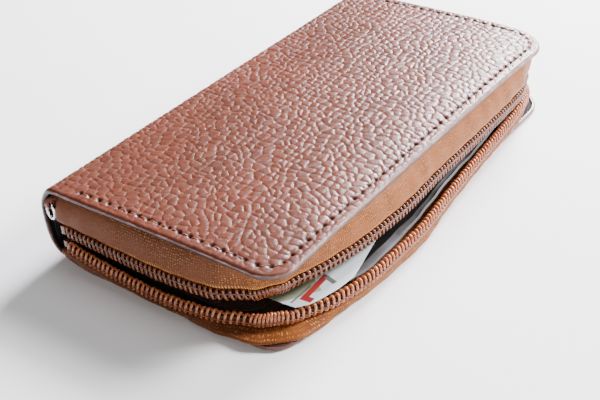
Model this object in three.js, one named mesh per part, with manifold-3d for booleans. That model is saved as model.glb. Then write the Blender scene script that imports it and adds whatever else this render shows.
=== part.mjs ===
// Zip-around wallet, lying on its back cover with the zip run open.
// Millimetres. Origin: middle of the flat underside of the back cover.
// +X runs along the long side, +Y towards the folded spine, -Y towards the zip opening, +Z up.
import * as THREE from 'three';
import { mergeVertices } from 'three/addons/utils/BufferGeometryUtils.js';
import Module from 'manifold-3d';

const wasm = await Module();
wasm.setup();

// ---- driving dimensions -------------------------------------------------
const HALF_LENGTH = 97.5;        // cover, half of its long side
const FRONT_Y = -49.4;           // cover edge on the zip side
const FOLD_Y = 46.0;             // where the flat covers turn into the spine
const NEAR_CORNER = 10;          // corner radius of both covers at the near end
const FAR_CORNER = 16;           // and at the far end, where the zip parks
const CLOSED_HEIGHT = 31.4;      // outside height over both covers
const LEATHER = 1.4;             // leather with its painted edge
const SPINE_DEPTH = 6.9;         // how far the spine bulges past the fold
const FOLD_HEIGHT = 6.7;         // height of each fold line above its cover's outside
const GAP = 0.3;                 // seam clearance between neighbouring pieces

const PATH_CORNER = 14;          // corner radius of the zip's run
const PATH_START_Y = 43.3;       // both tapes stop here, just short of the spine
const TAPE = 0.7;                // zip tape thickness
const COIL_WIDTH = 4.0;          // coil, from its sewn side to its heads
const COIL_THICKNESS = 2.2;
const COIL_PITCH = 2.0;
const COIL_GROOVE = 0.7;         // depth of the valleys between coil turns
const COIL_FIRST_Y = 40;         // first coil turn on the near end
const COIL_LAST_Y = 32.6;        // last open turn on the far end
const SEAM_FLAP = 6;             // tape sewn in under the cover's edge

const SLIDER_Y = 39.6;           // zip slider, parked at the closed end of the run
const SLIDER_LENGTH = 9;
const COIN_ZIP_Y = -40.6;        // centre line of the coin pocket's zip
const COIN_HALF = 78;            // coin pocket, half length
const COIN_LOW = 15.0;           // underside of the coin pocket
const COIN_HIGH = 20.0;          // top of the coin pocket
const RING_X = -98.7;            // strap ring, hanging outside the near end
const RING_Y = 46.2;
const RING_PIVOT_Z = 26.3;
const PAPER_Z = 9.8;              // a loose slip of paper rests here, above the lower coil

// ---- the zip's run ------------------------------------------------------
// A rounded U from the near end of the spine, along the opening side, to the far end.
const NEAR = PATH_START_Y - FRONT_Y - PATH_CORNER;
const BEND = Math.PI / 2 * PATH_CORNER;
const LONG = 2 * (HALF_LENGTH - PATH_CORNER);
const RUN = 2 * NEAR + 2 * BEND + LONG;
const onNear = (y) => PATH_START_Y - y;
const onFirstBend = (part) => NEAR + part * BEND;
const onLong = (x) => NEAR + BEND + x + HALF_LENGTH - PATH_CORNER;
const onSecondBend = (part) => NEAR + BEND + LONG + part * BEND;
const onFar = (y) => RUN - (PATH_START_Y - y);

// Each station: place along the run, then how far the upper coil, the lower coil and the
// lower tape's belly stand out from the run, the top of the upper coil, the bottom of the
// lower coil, and how high the tape's shoulder stands off the coil.
const STATIONS = [
  { s: onNear(43.3), upper: 1.9, lower: 1.9, belly: 1.2, high: 19.4, low: 9.2, shoulder: 1.2 },
  { s: onNear(30), upper: 1.9, lower: 2.1, belly: 1.4, high: 18.6, low: 6.8, shoulder: 1.2 },
  { s: onNear(0), upper: 2.2, lower: 2.4, belly: 1.8, high: 17.6, low: 4.3, shoulder: 1.2 },
  { s: onNear(-22), upper: 0.7, lower: 0, belly: 2.7, high: 17.4, low: 3.9, shoulder: 1.2 },
  { s: onFirstBend(0), upper: -4.3, lower: -4.6, belly: 1.7, high: 18.1, low: 4.1, shoulder: 1.2 },
  { s: onFirstBend(0.5), upper: -6.6, lower: -5.8, belly: 0.6, high: 18.7, low: 4.7, shoulder: 1.2 },
  { s: onFirstBend(1), upper: -5.6, lower: -2.6, belly: 2.4, high: 18.9, low: 4.9, shoulder: 1.2 },
  { s: onLong(-70), upper: -1.7, lower: 3.5, belly: 4.1, high: 18.9, low: 4.9, shoulder: 1.2 },
  { s: onLong(-50), upper: 1.7, lower: 6.9, belly: 6.8, high: 18.7, low: 4.8, shoulder: 1.2 },
  { s: onLong(-25), upper: 2.9, lower: 7.3, belly: 7.8, high: 18.5, low: 4.7, shoulder: 1.2 },
  { s: onLong(0), upper: 2.0, lower: 5.2, belly: 4.9, high: 18.3, low: 5.0, shoulder: 1.2 },
  { s: onLong(25), upper: 1.8, lower: 3.4, belly: 2.1, high: 18.1, low: 5.8, shoulder: 1.2 },
  { s: onLong(50), upper: 1.5, lower: 2.0, belly: -0.3, high: 17.9, low: 6.6, shoulder: 1.2 },
  { s: onLong(70), upper: 0.4, lower: 0.3, belly: -2.2, high: 17.7, low: 7.2, shoulder: 1.4 },
  { s: onSecondBend(0), upper: -3.4, lower: -3.0, belly: -3.4, high: 17.6, low: 7.5, shoulder: 1.8 },
  { s: onSecondBend(0.5), upper: -5.2, lower: -4.8, belly: -3.4, high: 17.6, low: 7.6, shoulder: 2.4 },
  { s: onSecondBend(1), upper: -3.0, lower: -3.0, belly: -2.6, high: 17.6, low: 7.6, shoulder: 3.0 },
  { s: onFar(-20), upper: 0, lower: 0, belly: -1, high: 17.6, low: 7.6, shoulder: 3.4 },
  { s: onFar(43.3), upper: 0, lower: 0, belly: -1, high: 17.6, low: 7.6, shoulder: 3.4 },
];

// Smooth curve through the stations that never overshoots them.
function stationCurve(key) {
  const s = STATIONS.map((station) => station.s);
  const v = STATIONS.map((station) => station[key]);
  const count = s.length;
  const slope = [];
  for (let i = 0; i < count - 1; i += 1) slope.push((v[i + 1] - v[i]) / (s[i + 1] - s[i]));
  const tangent = [slope[0]];
  for (let i = 1; i < count - 1; i += 1) {
    const a = slope[i - 1];
    const b = slope[i];
    tangent.push(a * b <= 0 ? 0 : 2 * a * b / (a + b));
  }
  tangent.push(slope[count - 2]);
  return (at) => {
    let i = 0;
    while (i < count - 2 && at > s[i + 1]) i += 1;
    const h = s[i + 1] - s[i];
    const t = (at - s[i]) / h;
    const keep = (1 + 2 * t) * (1 - t) * (1 - t);
    const next = t * t * (3 - 2 * t);
    const leave = t * (1 - t) * (1 - t) * h;
    const arrive = t * t * (t - 1) * h;
    return keep * v[i] + next * v[i + 1] + leave * tangent[i] + arrive * tangent[i + 1];
  };
}

const curves = {};
for (const key of ['upper', 'lower', 'belly', 'high', 'low', 'shoulder']) {
  curves[key] = stationCurve(key);
}

// Point on the run and the direction that faces outwards there.
function runAt(s) {
  const r = PATH_CORNER;
  if (s <= NEAR) return { x: -HALF_LENGTH, y: PATH_START_Y - s, nx: -1, ny: 0 };
  if (s <= NEAR + BEND) {
    const a = (s - NEAR) / r;
    const nx = -Math.cos(a);
    const ny = -Math.sin(a);
    return { x: -HALF_LENGTH + r + r * nx, y: FRONT_Y + r + r * ny, nx, ny };
  }
  if (s <= NEAR + BEND + LONG) {
    return { x: -HALF_LENGTH + r + s - NEAR - BEND, y: FRONT_Y, nx: 0, ny: -1 };
  }
  if (s <= NEAR + 2 * BEND + LONG) {
    const a = (s - NEAR - BEND - LONG) / r;
    const nx = Math.sin(a);
    const ny = -Math.cos(a);
    return { x: HALF_LENGTH - r + r * nx, y: FRONT_Y + r + r * ny, nx, ny };
  }
  return { x: HALF_LENGTH, y: FRONT_Y + r + s - NEAR - 2 * BEND - LONG, nx: 1, ny: 0 };
}

// ---- solids -------------------------------------------------------------
// Closed body lofted through sections; each section is a list of [outer, inner] point pairs.
function loft(sections) {
  const pairs = sections[0].length;
  const ring = 2 * pairs;
  const position = [];
  for (const section of sections) {
    for (const [outer] of section) position.push(...outer);
    for (let i = pairs - 1; i >= 0; i -= 1) position.push(...section[i][1]);
  }
  const index = [];
  const quad = (a, b, c, d) => index.push(a, b, c, a, c, d);
  for (let k = 0; k < sections.length - 1; k += 1) {
    for (let i = 0; i < ring; i += 1) {
      const j = (i + 1) % ring;
      quad(k * ring + i, k * ring + j, (k + 1) * ring + j, (k + 1) * ring + i);
    }
  }
  const last = (sections.length - 1) * ring;
  for (let i = 0; i < pairs - 1; i += 1) {
    quad(i, ring - 1 - i, ring - 2 - i, i + 1);
    quad(last + i, last + i + 1, last + ring - 2 - i, last + ring - 1 - i);
  }
  const geometry = new THREE.BufferGeometry();
  geometry.setAttribute('position', new THREE.Float32BufferAttribute(position, 3));
  geometry.setIndex(index);
  return faceOutwards(geometry);
}

function faceOutwards(geometry) {
  const p = geometry.getAttribute('position');
  const index = geometry.getIndex();
  const a = new THREE.Vector3();
  const b = new THREE.Vector3();
  const c = new THREE.Vector3();
  let volume = 0;
  for (let i = 0; i < index.count; i += 3) {
    a.fromBufferAttribute(p, index.getX(i));
    b.fromBufferAttribute(p, index.getX(i + 1));
    c.fromBufferAttribute(p, index.getX(i + 2));
    volume += a.dot(b.cross(c));
  }
  if (volume < 0) {
    const flipped = [];
    for (let i = 0; i < index.count; i += 3) {
      flipped.push(index.getX(i), index.getX(i + 2), index.getX(i + 1));
    }
    geometry.setIndex(flipped);
  }
  return geometry;
}

function bare(geometry) {
  geometry.deleteAttribute('normal');
  geometry.deleteAttribute('uv');
  return mergeVertices(geometry, 1e-4);
}

function box(x0, x1, y0, y1, z0, z1) {
  const geometry = new THREE.BoxGeometry(x1 - x0, y1 - y0, z1 - z0);
  geometry.translate((x0 + x1) / 2, (y0 + y1) / 2, (z0 + z1) / 2);
  return bare(geometry);
}

// Flat sheet with rounded corners: one radius on the zip side, another on the spine side.
function sheet(x0, x1, y0, y1, z0, z1, front = 3, rear = Math.min(front, 3)) {
  const shape = new THREE.Shape();
  shape.moveTo(x0 + front, y0);
  shape.lineTo(x1 - front, y0);
  shape.absarc(x1 - front, y0 + front, front, -Math.PI / 2, 0);
  shape.lineTo(x1, y1 - rear);
  shape.absarc(x1 - rear, y1 - rear, rear, 0, Math.PI / 2);
  shape.lineTo(x0 + rear, y1);
  shape.absarc(x0 + rear, y1 - rear, rear, Math.PI / 2, Math.PI);
  shape.lineTo(x0, y0 + front);
  shape.absarc(x0 + front, y0 + front, front, Math.PI, 1.5 * Math.PI);
  const curveSegments = front > 4 ? 4 : 2;
  const geometry = new THREE.ExtrudeGeometry(shape, { depth: z1 - z0, bevelEnabled: false, curveSegments });
  geometry.translate(0, 0, z0);
  return bare(geometry);
}

// Outline drawn in two axes and given a thickness along the third.
function slab(outline, axis, from, to, holes = []) {
  const shape = new THREE.Shape(outline.map(([u, v]) => new THREE.Vector2(u, v)));
  for (const hole of holes) shape.holes.push(new THREE.Path(hole.map(([u, v]) => new THREE.Vector2(u, v))));
  const options = { depth: to - from, bevelEnabled: false, curveSegments: 6 };
  const geometry = new THREE.ExtrudeGeometry(shape, options);
  geometry.translate(0, 0, from);
  const turn = new THREE.Matrix4();
  if (axis === 'x') turn.set(0, 0, 1, 0, 1, 0, 0, 0, 0, 1, 0, 0, 0, 0, 0, 1);
  if (axis === 'y') turn.set(0, 1, 0, 0, 0, 0, 1, 0, 1, 0, 0, 0, 0, 0, 0, 1);
  geometry.applyMatrix4(turn);
  return bare(geometry);
}

function toManifold(geometry) {
  const mesh = new wasm.Mesh({
    numProp: 3,
    vertProperties: new Float32Array(geometry.getAttribute('position').array),
    triVerts: new Uint32Array(geometry.getIndex().array),
  });
  return new wasm.Manifold(mesh);
}

function join(...geometries) {
  let body = toManifold(geometries[0]);
  for (const other of geometries.slice(1)) body = body.add(toManifold(other));
  const mesh = body.getMesh();
  const geometry = new THREE.BufferGeometry();
  geometry.setAttribute('position', new THREE.Float32BufferAttribute(mesh.vertProperties, 3));
  geometry.setIndex(Array.from(mesh.triVerts));
  return geometry;
}

const group = new THREE.Group();
group.name = 'zip_around_wallet';

function add(name, geometry, finish) {
  const flat = geometry.toNonIndexed();
  flat.computeVertexNormals();
  const material = new THREE.MeshStandardMaterial({
    color: new THREE.Color(finish.color), roughness: finish.roughness, metalness: finish.metalness ?? 0,
  });
  const mesh = new THREE.Mesh(flat, material);
  mesh.name = name;
  group.add(mesh);
}

const LEATHER_FINISH = { color: '#a76f5f', roughness: 0.48 };
const BOARD_FINISH = { color: '#8f8479', roughness: 0.9 };
const LINING_FINISH = { color: '#2b2321', roughness: 0.75 };
const PANEL_FINISH = { color: '#33251f', roughness: 0.55 };
const SATIN_FINISH = { color: '#99928b', roughness: 0.4 };
const TAPE_FINISH = { color: '#b07a52', roughness: 0.6 };
const COIL_FINISH = { color: '#a8684c', roughness: 0.38 };
const METAL_FINISH = { color: '#d9d6d2', roughness: 0.18, metalness: 1 };
const PAPER_FINISH = { color: '#e4ebef', roughness: 0.7 };

// ---- covers and spine ---------------------------------------------------
// The spine's outside in the Y-Z plane: half an ellipse from the back cover to the front cover.
const MID_Z = CLOSED_HEIGHT / 2;
function spinePoint(angle, depth) {
  const y = FOLD_Y + SPINE_DEPTH * Math.cos(angle);
  const z = MID_Z + MID_Z * Math.sin(angle);
  const ny = MID_Z * Math.cos(angle);
  const nz = SPINE_DEPTH * Math.sin(angle);
  const length = Math.hypot(ny, nz);
  return [y - depth * ny / length, z - depth * nz / length];
}
const angleAt = (z) => Math.asin((z - MID_Z) / MID_Z);

// Strip that follows the spine between two heights, at a depth below the outside.
function spineStrip(z0, z1, depth, thickness, half, steps = 8) {
  const a0 = angleAt(z0);
  const a1 = angleAt(z1);
  const outline = [];
  for (let i = 0; i <= steps; i += 1) outline.push(spinePoint(a0 + (a1 - a0) * i / steps, depth));
  for (let i = steps; i >= 0; i -= 1) {
    outline.push(spinePoint(a0 + (a1 - a0) * i / steps, depth + thickness));
  }
  return slab(outline, 'x', -half, half);
}

// Cover: flat with two rounded front corners, rolling up into the spine as far as the fold line.
function cover(mirror) {
  const place = (z) => (mirror ? CLOSED_HEIGHT - z : z);
  const sections = [];
  const bend = 8;
  const reach = (corner, y) => {
    const drop = Math.max(corner - (y - FRONT_Y), 0);
    return HALF_LENGTH - corner + Math.sqrt(corner * corner - drop * drop);
  };
  const at = (near, far, outer, inner) => {
    sections.push([
      [[-near, outer[0], place(outer[1])], [-near, inner[0], place(inner[1])]],
      [[far, outer[0], place(outer[1])], [far, inner[0], place(inner[1])]],
    ]);
  };
  for (let i = 0; i <= bend; i += 1) {
    const a = Math.PI / 2 * i / bend;
    const y = FRONT_Y + FAR_CORNER * (1 - Math.cos(a));
    at(reach(NEAR_CORNER, y), reach(FAR_CORNER, y), [y, 0], [y, LEATHER]);
  }
  const last = angleAt(FOLD_HEIGHT - GAP);
  const steps = 7;
  for (let i = 0; i <= steps; i += 1) {
    const a = -Math.PI / 2 + (last + Math.PI / 2) * i / steps;
    at(HALF_LENGTH, HALF_LENGTH, spinePoint(a, 0), spinePoint(a, LEATHER));
  }
  return loft(sections);
}

add('back_cover_leather', cover(false), LEATHER_FINISH);
add('front_cover_leather', cover(true), LEATHER_FINISH);
add('spine_leather', spineStrip(FOLD_HEIGHT + GAP, CLOSED_HEIGHT - FOLD_HEIGHT - GAP, 0, LEATHER, HALF_LENGTH, 10),
  LEATHER_FINISH);
add('spine_reinforcement', spineStrip(8.4, CLOSED_HEIGHT - 8.4, LEATHER + GAP, 0.6, 92), BOARD_FINISH);
add('spine_lining', spineStrip(7.6, CLOSED_HEIGHT - 7.6, LEATHER + 2 * GAP + 0.6, 0.5, 95.5), LINING_FINISH);

// ---- inside of each cover -----------------------------------------------
const SLOT_WIDTH = 89.8;          // a payment card is 85.6 wide
const SLOT_REACH = 14;            // each card slot's mouth steps back by this much
function insideOfCover(side, z) {
  const layer = (from, to) => (side === 'back' ? [from, to] : [CLOSED_HEIGHT - to, CLOSED_HEIGHT - from]);
  add(`${side}_board`, sheet(-90.8, 90.8, -42.7, 43, ...layer(1.7, 2.5), 8), BOARD_FINISH);
  add(`${side}_lining`, sheet(-93, 93, -44.9, 44, ...layer(2.8, 3.2), 20), LINING_FINISH);
  add(`${side}_card_panel`, sheet(-91.2, 91.2, -37, 41, ...layer(3.5, 3.9), 14), PANEL_FINISH);
  for (const column of ['near', 'far']) {
    const x0 = column === 'near' ? -90.8 : 1;
    for (let k = 0; k < 3; k += 1) {
      const base = z + 0.8 * k;
      const corner = k === 0 ? 12 : 2;
      const strip = sheet(x0, x0 + SLOT_WIDTH, -34 + SLOT_REACH * k, 39, ...layer(base, base + 0.5), corner);
      add(`${side}_${column}_card_slot_${k + 1}`, strip, PANEL_FINISH);
    }
  }
}
insideOfCover('back', 4.2);
insideOfCover('front', 4.2);

// Grey satin leaf between the card slots and the notes; its front edge turns up behind the lower coil.
const LEAF_Z = 8.5;
function satinLeaf() {
  const x0 = -62;
  const x1 = 76;
  const steps = 23;
  const sections = [];
  for (let i = 0; i <= steps; i += 1) {
    const x = x0 + (x1 - x0) * i / steps;
    const lip = 2 * Math.min(Math.max((x + 31) / 15, 0), 1);
    const front = FRONT_Y - Math.min(curves.lower(onLong(x)) - 3.6, 3.9);
    sections.push([
      [[x, 38, LEAF_Z + 0.5], [x, 38, LEAF_Z]],
      [[x, front + 3, LEAF_Z + 0.5], [x, front + 3, LEAF_Z]],
      [[x, front + 1.2, LEAF_Z + 0.5 + lip * 0.3], [x, front + 0.9, LEAF_Z + lip * 0.15]],
      [[x, front + 0.5, LEAF_Z + 0.5 + lip], [x, front, LEAF_Z + lip * 0.9]],
    ]);
  }
  return loft(sections);
}
add('bill_divider', satinLeaf(), SATIN_FINISH);
const slip = [
  [-84.5, -46], [-81, -49], [-77.7, -50.4], [-70, -52.6], [-59.4, -54], [-33, -50.5], [-33, -10], [-84.5, -10],
];
add('paper_slip', slab(slip, 'z', PAPER_Z, PAPER_Z + 0.4), PAPER_FINISH);

// ---- zip tapes ----------------------------------------------------------
function stops() {
  const list = [];
  const stretch = (from, to, pieces) => {
    for (let i = 0; i < pieces; i += 1) list.push(from + (to - from) * i / pieces);
  };
  stretch(0, NEAR, 9);
  stretch(NEAR, NEAR + BEND, 7);
  stretch(NEAR + BEND, NEAR + BEND + LONG, 20);
  stretch(NEAR + BEND + LONG, NEAR + 2 * BEND + LONG, 7);
  stretch(NEAR + 2 * BEND + LONG, RUN, 6);
  list.push(RUN);
  return list;
}

// Centre line of a tape's section in (outward, height), turned into a strip of the tape's thickness.
function tapeSection(s, line) {
  const at = runAt(s);
  return line.map(([out, z], i) => {
    const before = line[Math.max(i - 1, 0)];
    const after = line[Math.min(i + 1, line.length - 1)];
    const du = after[0] - before[0];
    const dz = after[1] - before[1];
    const length = Math.hypot(du, dz);
    const su = -dz / length * TAPE / 2;
    const sz = du / length * TAPE / 2;
    const place = (u, h) => [at.x + at.nx * u, at.y + at.ny * u, h];
    return [place(out + su, z + sz), place(out - su, z - sz)];
  });
}

const upperHead = (s) => curves.upper(s) * 1.2;      // coil heads lean with the tape
// The lower coil leans out at its foot, and stands upright on the straight far end where the slider runs.
function lowerFoot(s) {
  const t = Math.min(Math.max((s - onSecondBend(0)) / (onSecondBend(1) - onSecondBend(0)), 0), 1);
  return curves.lower(s) + 0.6 * (1 - t * t * (3 - 2 * t));
}

function upperTapeLine(s) {
  const out = curves.upper(s);
  const high = curves.high(s);
  const shoulder = curves.shoulder(s);
  const top = CLOSED_HEIGHT - 2.1;
  const swell = Math.min(out * 0.45 - 0.2, 0.8);
  return [
    [-SEAM_FLAP, top], [-2.4, top], [swell - 1.0, top - 1.3],
    [out * 0.8 - 0.2, (top + high + shoulder) / 2 - 0.3],
    [out - 0.5, high + shoulder], [out - COIL_THICKNESS - 0.65, high + shoulder - 0.9],
    [upperHead(s) - COIL_THICKNESS - 0.65, high - COIL_WIDTH + 1.6],
  ];
}

function lowerTapeLine(s) {
  const out = curves.lower(s);
  const belly = curves.belly(s);
  const low = curves.low(s);
  const shoulder = Math.min(curves.shoulder(s), low - 2.9);
  const foot = lowerFoot(s);
  const side = Math.max(belly, foot - 1.2);
  const sag = 0.9 * Math.min(Math.max((belly - 1.5) / 1.5, 0), 1);
  return [
    [-SEAM_FLAP, 2.05], [Math.min(0.2, belly - 1.8), 2.05], [belly - 0.9, 2.05 - sag],
    [side - 0.35, 2.7 - sag],
    [foot - 0.4, low - shoulder], [foot - COIL_THICKNESS - 0.65, low - shoulder + 0.7],
    [out - COIL_THICKNESS - 0.65, low + COIL_WIDTH - 1.6],
  ];
}

add('upper_zip_tape', loft(stops().map((s) => tapeSection(s, upperTapeLine(s)))), TAPE_FINISH);
add('lower_zip_tape', loft(stops().map((s) => tapeSection(s, lowerTapeLine(s)))), TAPE_FINISH);

// ---- zip coils ----------------------------------------------------------
// A row of coil turns as one toothed strip: a full section on each turn, a cut-back one between turns.
function coil(row) {
  const first = onNear(COIL_FIRST_Y);
  const last = onFar(COIL_LAST_Y);
  const turns = Math.round((last - first) / COIL_PITCH);
  const sections = [];
  for (let i = 0; i <= 2 * turns; i += 1) {
    const s = first + (last - first) * i / (2 * turns);
    const cut = i % 2 === 0 ? 0 : COIL_GROOVE;
    const at = runAt(s);
    const place = (u, h) => [at.x + at.nx * u, at.y + at.ny * u, h];
    const high = row === 'upper' ? curves.high(s) : curves.low(s) + COIL_WIDTH;
    const low = high - COIL_WIDTH;
    const outHigh = row === 'upper' ? curves.upper(s) : curves.lower(s);
    const outLow = row === 'upper' ? upperHead(s) : lowerFoot(s);
    const headCut = row === 'upper' ? [0, cut] : [cut, 0];
    sections.push([
      [place(outHigh - cut, high - headCut[0]), place(outHigh - COIL_THICKNESS, high - headCut[0])],
      [place(outLow - cut, low + headCut[1]), place(outLow - COIL_THICKNESS, low + headCut[1])],
    ]);
  }
  return loft(sections);
}
add('upper_zip_coil', coil('upper'), COIL_FINISH);
add('lower_zip_coil', coil('lower'), COIL_FINISH);

// Stops that finish the two rows at the near end.
function topStop(z0, z1) {
  const x = -HALF_LENGTH - 1.9;
  return box(x, x + 1.5, COIL_FIRST_Y + GAP, COIL_FIRST_Y + GAP + 1.8, z0, z1);
}
add('upper_top_stop', topStop(15.6, 19.0), COIL_FINISH);
add('lower_top_stop', topStop(10.2, 12.8), COIL_FINISH);

// Closed end of the chain under the parked slider: two rows that join into one.
const ROW = { lowFoot: 7.6, lowHead: 11.6, highHead: 13.6, highFoot: 17.6 };
const endChain = [
  [COIL_LAST_Y + 0.6, ROW.lowFoot], [45.4, ROW.lowFoot], [45.4, ROW.highFoot], [COIL_LAST_Y + 0.6, ROW.highFoot],
  [COIL_LAST_Y + 0.6, ROW.highHead], [38.8, ROW.highHead], [38.8, ROW.lowHead], [COIL_LAST_Y + 0.6, ROW.lowHead],
];
add('closed_chain_end', slab(endChain, 'x', HALF_LENGTH - COIL_THICKNESS, HALF_LENGTH), COIL_FINISH);
add('bottom_stop', box(HALF_LENGTH - 2.6, HALF_LENGTH + 0.2, 45.7, 47.2, 9.4, 15.8), METAL_FINISH);

// ---- zip slider and pull ------------------------------------------------
const S0 = SLIDER_Y - SLIDER_LENGTH / 2;
const S1 = SLIDER_Y + SLIDER_LENGTH / 2;
const PLATE_X = HALF_LENGTH + 0.4;
const nose = slab([[S0, 8.2], [S0 + 3, 6], [S1, 6], [S1, 19.2], [S0 + 3, 19.2], [S0, 17]], 'x', PLATE_X, PLATE_X + 1.2);
const innerPlate = slab([[S0, 8.2], [S0 + 3, 6], [S1, 6], [S1, 19.2], [S0 + 3, 19.2], [S0, 17]], 'x', 92.9, 93.9);
add('zip_slider_body', join(
  nose, innerPlate,
  box(93.5, PLATE_X + 0.5, S0 + 0.4, S0 + 3.2, 12.0, 13.2),
  box(95.7, PLATE_X + 0.5, S0 + 3, S1, 18.1, 19.2),
  box(95.7, PLATE_X + 0.5, S0 + 3, S1, 6, 7.1),
), METAL_FINISH);
const BRIDGE_X = PLATE_X + 1.2 + 0.05;
const arch = [
  [-3.1, 0], [-1.9, 0], [-1.9, 2.1], [1.9, 2.1], [1.9, 0], [3.1, 0], [3.1, 2.4], [2.4, 3.2], [-2.4, 3.2], [-3.1, 2.4],
];
add('zip_slider_bridge', slab(arch.map(([y, x]) => [BRIDGE_X + x, SLIDER_Y + y]), 'z', 11.4, 13.8), METAL_FINISH);

const PULL_X = BRIDGE_X + 1.15;
const frame = slab(
  [[SLIDER_Y + 0.65, 8.8], [SLIDER_Y + 0.65, 16.4], [SLIDER_Y - 6.4, 16.4], [SLIDER_Y - 6.4, 8.8]],
  'x', PULL_X - 0.55, PULL_X + 0.55,
  [[[SLIDER_Y - 0.65, 10.4], [SLIDER_Y - 5, 10.4], [SLIDER_Y - 5, 14.8], [SLIDER_Y - 0.65, 14.8]]],
);
add('zip_pull_frame', frame, METAL_FINISH);
const tab = [
  [SLIDER_Y - 6.7, 9.4], [SLIDER_Y - 6.7, 15.8], [SLIDER_Y - 9, 16.8], [SLIDER_Y - 27, 16.8], [SLIDER_Y - 30, 15.2],
  [SLIDER_Y - 30, 10.0], [SLIDER_Y - 27, 8.4], [SLIDER_Y - 9, 8.4],
];
add('zip_pull_tab', slab(tab, 'x', PULL_X - 0.9, PULL_X + 0.9), LEATHER_FINISH);

// ---- coin pocket --------------------------------------------------------
const C0 = COIN_LOW;
const C1 = COIN_HIGH;
add('coin_pocket_lower_wall', sheet(-COIN_HALF, COIN_HALF, -35, 44.6, C0, C0 + 0.8, 3), LINING_FINISH);
add('coin_pocket_upper_wall', sheet(-COIN_HALF, COIN_HALF, -35, 44.6, C1 - 0.8, C1, 3), LINING_FINISH);
add('coin_pocket_near_gusset', sheet(-COIN_HALF, -COIN_HALF + 3, -28, 40, C0 + 1.1, C1 - 1.1, 1), LINING_FINISH);
add('coin_pocket_far_gusset', sheet(COIN_HALF - 3, COIN_HALF, -28, 40, C0 + 1.1, C1 - 1.1, 1), LINING_FINISH);
add('coin_pocket_base_strip', sheet(-COIN_HALF, COIN_HALF, 40.5, 48.4, C0 + 1.1, C1 - 1.1, 0.6), LINING_FINISH);
add('coin_zip_lower_tape', sheet(-COIN_HALF, COIN_HALF, -38.9, -29, C0 + 1.1, C0 + 1.6, 0.4), TAPE_FINISH);
add('coin_zip_upper_tape', sheet(-COIN_HALF, COIN_HALF, -38.9, -29, C1 - 1.6, C1 - 1.1, 0.4), TAPE_FINISH);

function coinChain() {
  const sections = [];
  const turns = 50;
  for (let i = 0; i <= 2 * turns; i += 1) {
    const x = -75 + 150 * i / (2 * turns);
    const cut = i % 2 === 0 ? 0 : 0.45;
    const y0 = COIN_ZIP_Y - 1.4 + cut;
    sections.push([
      [[x, y0, 18.8 - cut], [x, y0, 16.2 + cut]], [[x, COIN_ZIP_Y + 1.4, 18.8], [x, COIN_ZIP_Y + 1.4, 16.2]],
    ]);
  }
  return loft(sections);
}
add('coin_zip_coil', coinChain(), COIL_FINISH);

const COIN_SLIDER_X = -66;
const cs0 = COIN_SLIDER_X - 3.5;
const cs1 = COIN_SLIDER_X + 3.5;
add('coin_slider_body', join(
  box(cs0, cs1, COIN_ZIP_Y - 2.6, COIN_ZIP_Y + 2.2, 19.1, 19.8),
  box(cs0, cs1, COIN_ZIP_Y - 2.6, COIN_ZIP_Y + 2.2, 15.2, 15.9),
  box(cs0, cs1, COIN_ZIP_Y - 2.6, COIN_ZIP_Y - 1.7, 15.5, 19.5),
  box(cs0 + 1.2, cs0 + 2.1, COIN_ZIP_Y - 0.8, COIN_ZIP_Y + 0.8, 19.5, 21.6),
  box(cs1 - 2.1, cs1 - 1.2, COIN_ZIP_Y - 0.8, COIN_ZIP_Y + 0.8, 19.5, 21.6),
  box(cs0 + 1.2, cs1 - 1.2, COIN_ZIP_Y - 0.8, COIN_ZIP_Y + 0.8, 21.3, 21.9),
), METAL_FINISH);
const cx = COIN_SLIDER_X;
add('coin_slider_pull', slab(
  [[cx - 0.5, COIN_ZIP_Y - 2], [cx + 6.2, COIN_ZIP_Y - 2], [cx + 6.2, COIN_ZIP_Y + 2], [cx - 0.5, COIN_ZIP_Y + 2]],
  'z', 20.15, 20.95,
  [[[cx + 0.5, COIN_ZIP_Y - 1.15], [cx + 0.5, COIN_ZIP_Y + 1.15], [cx + 4.2, COIN_ZIP_Y + 1.15],
    [cx + 4.2, COIN_ZIP_Y - 1.15]]],
), METAL_FINISH);

// ---- strap ring and its tab ---------------------------------------------
function oval(cy, cz, ry, rz, count) {
  const list = [];
  for (let i = 0; i < count; i += 1) {
    const a = 2 * Math.PI * i / count;
    list.push([cy + ry * Math.cos(a), cz + rz * Math.sin(a)]);
  }
  return list;
}
add('strap_ring', slab(
  oval(RING_Y, RING_PIVOT_Z - 3.1, 2.4, 3.7, 20), 'x', RING_X - 0.5, RING_X + 0.5,
  [oval(RING_Y, RING_PIVOT_Z - 3.1, 1.45, 2.65, 16)],
), METAL_FINISH);
// A thin leather loop that runs from inside the spine round the top of the ring.
const loop = [];
for (let i = 0; i <= 10; i += 1) {
  const a = Math.PI * (0.5 + i / 10);
  loop.push([RING_PIVOT_Z + 1.75 * Math.sin(a), RING_X + 1.75 * Math.cos(a)]);
}
loop.push([RING_PIVOT_Z - 1.75, -90], [RING_PIVOT_Z + 1.75, -90]);
add('strap_ring_tab', slab(
  loop, 'y', RING_Y - 0.8, RING_Y + 0.8, [oval(RING_PIVOT_Z, RING_X, 1.1, 1.1, 14)],
), LEATHER_FINISH);

export default group;
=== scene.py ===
"""Zip-around wallet in pebble-grained leather, lying on its back cover with the zip run open."""
import logging
import math
from dataclasses import dataclass
from enum import Enum
from typing import Callable, Optional, Sequence

import bmesh
import bpy
import numpy as np
from mathutils import Matrix, Vector


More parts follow.
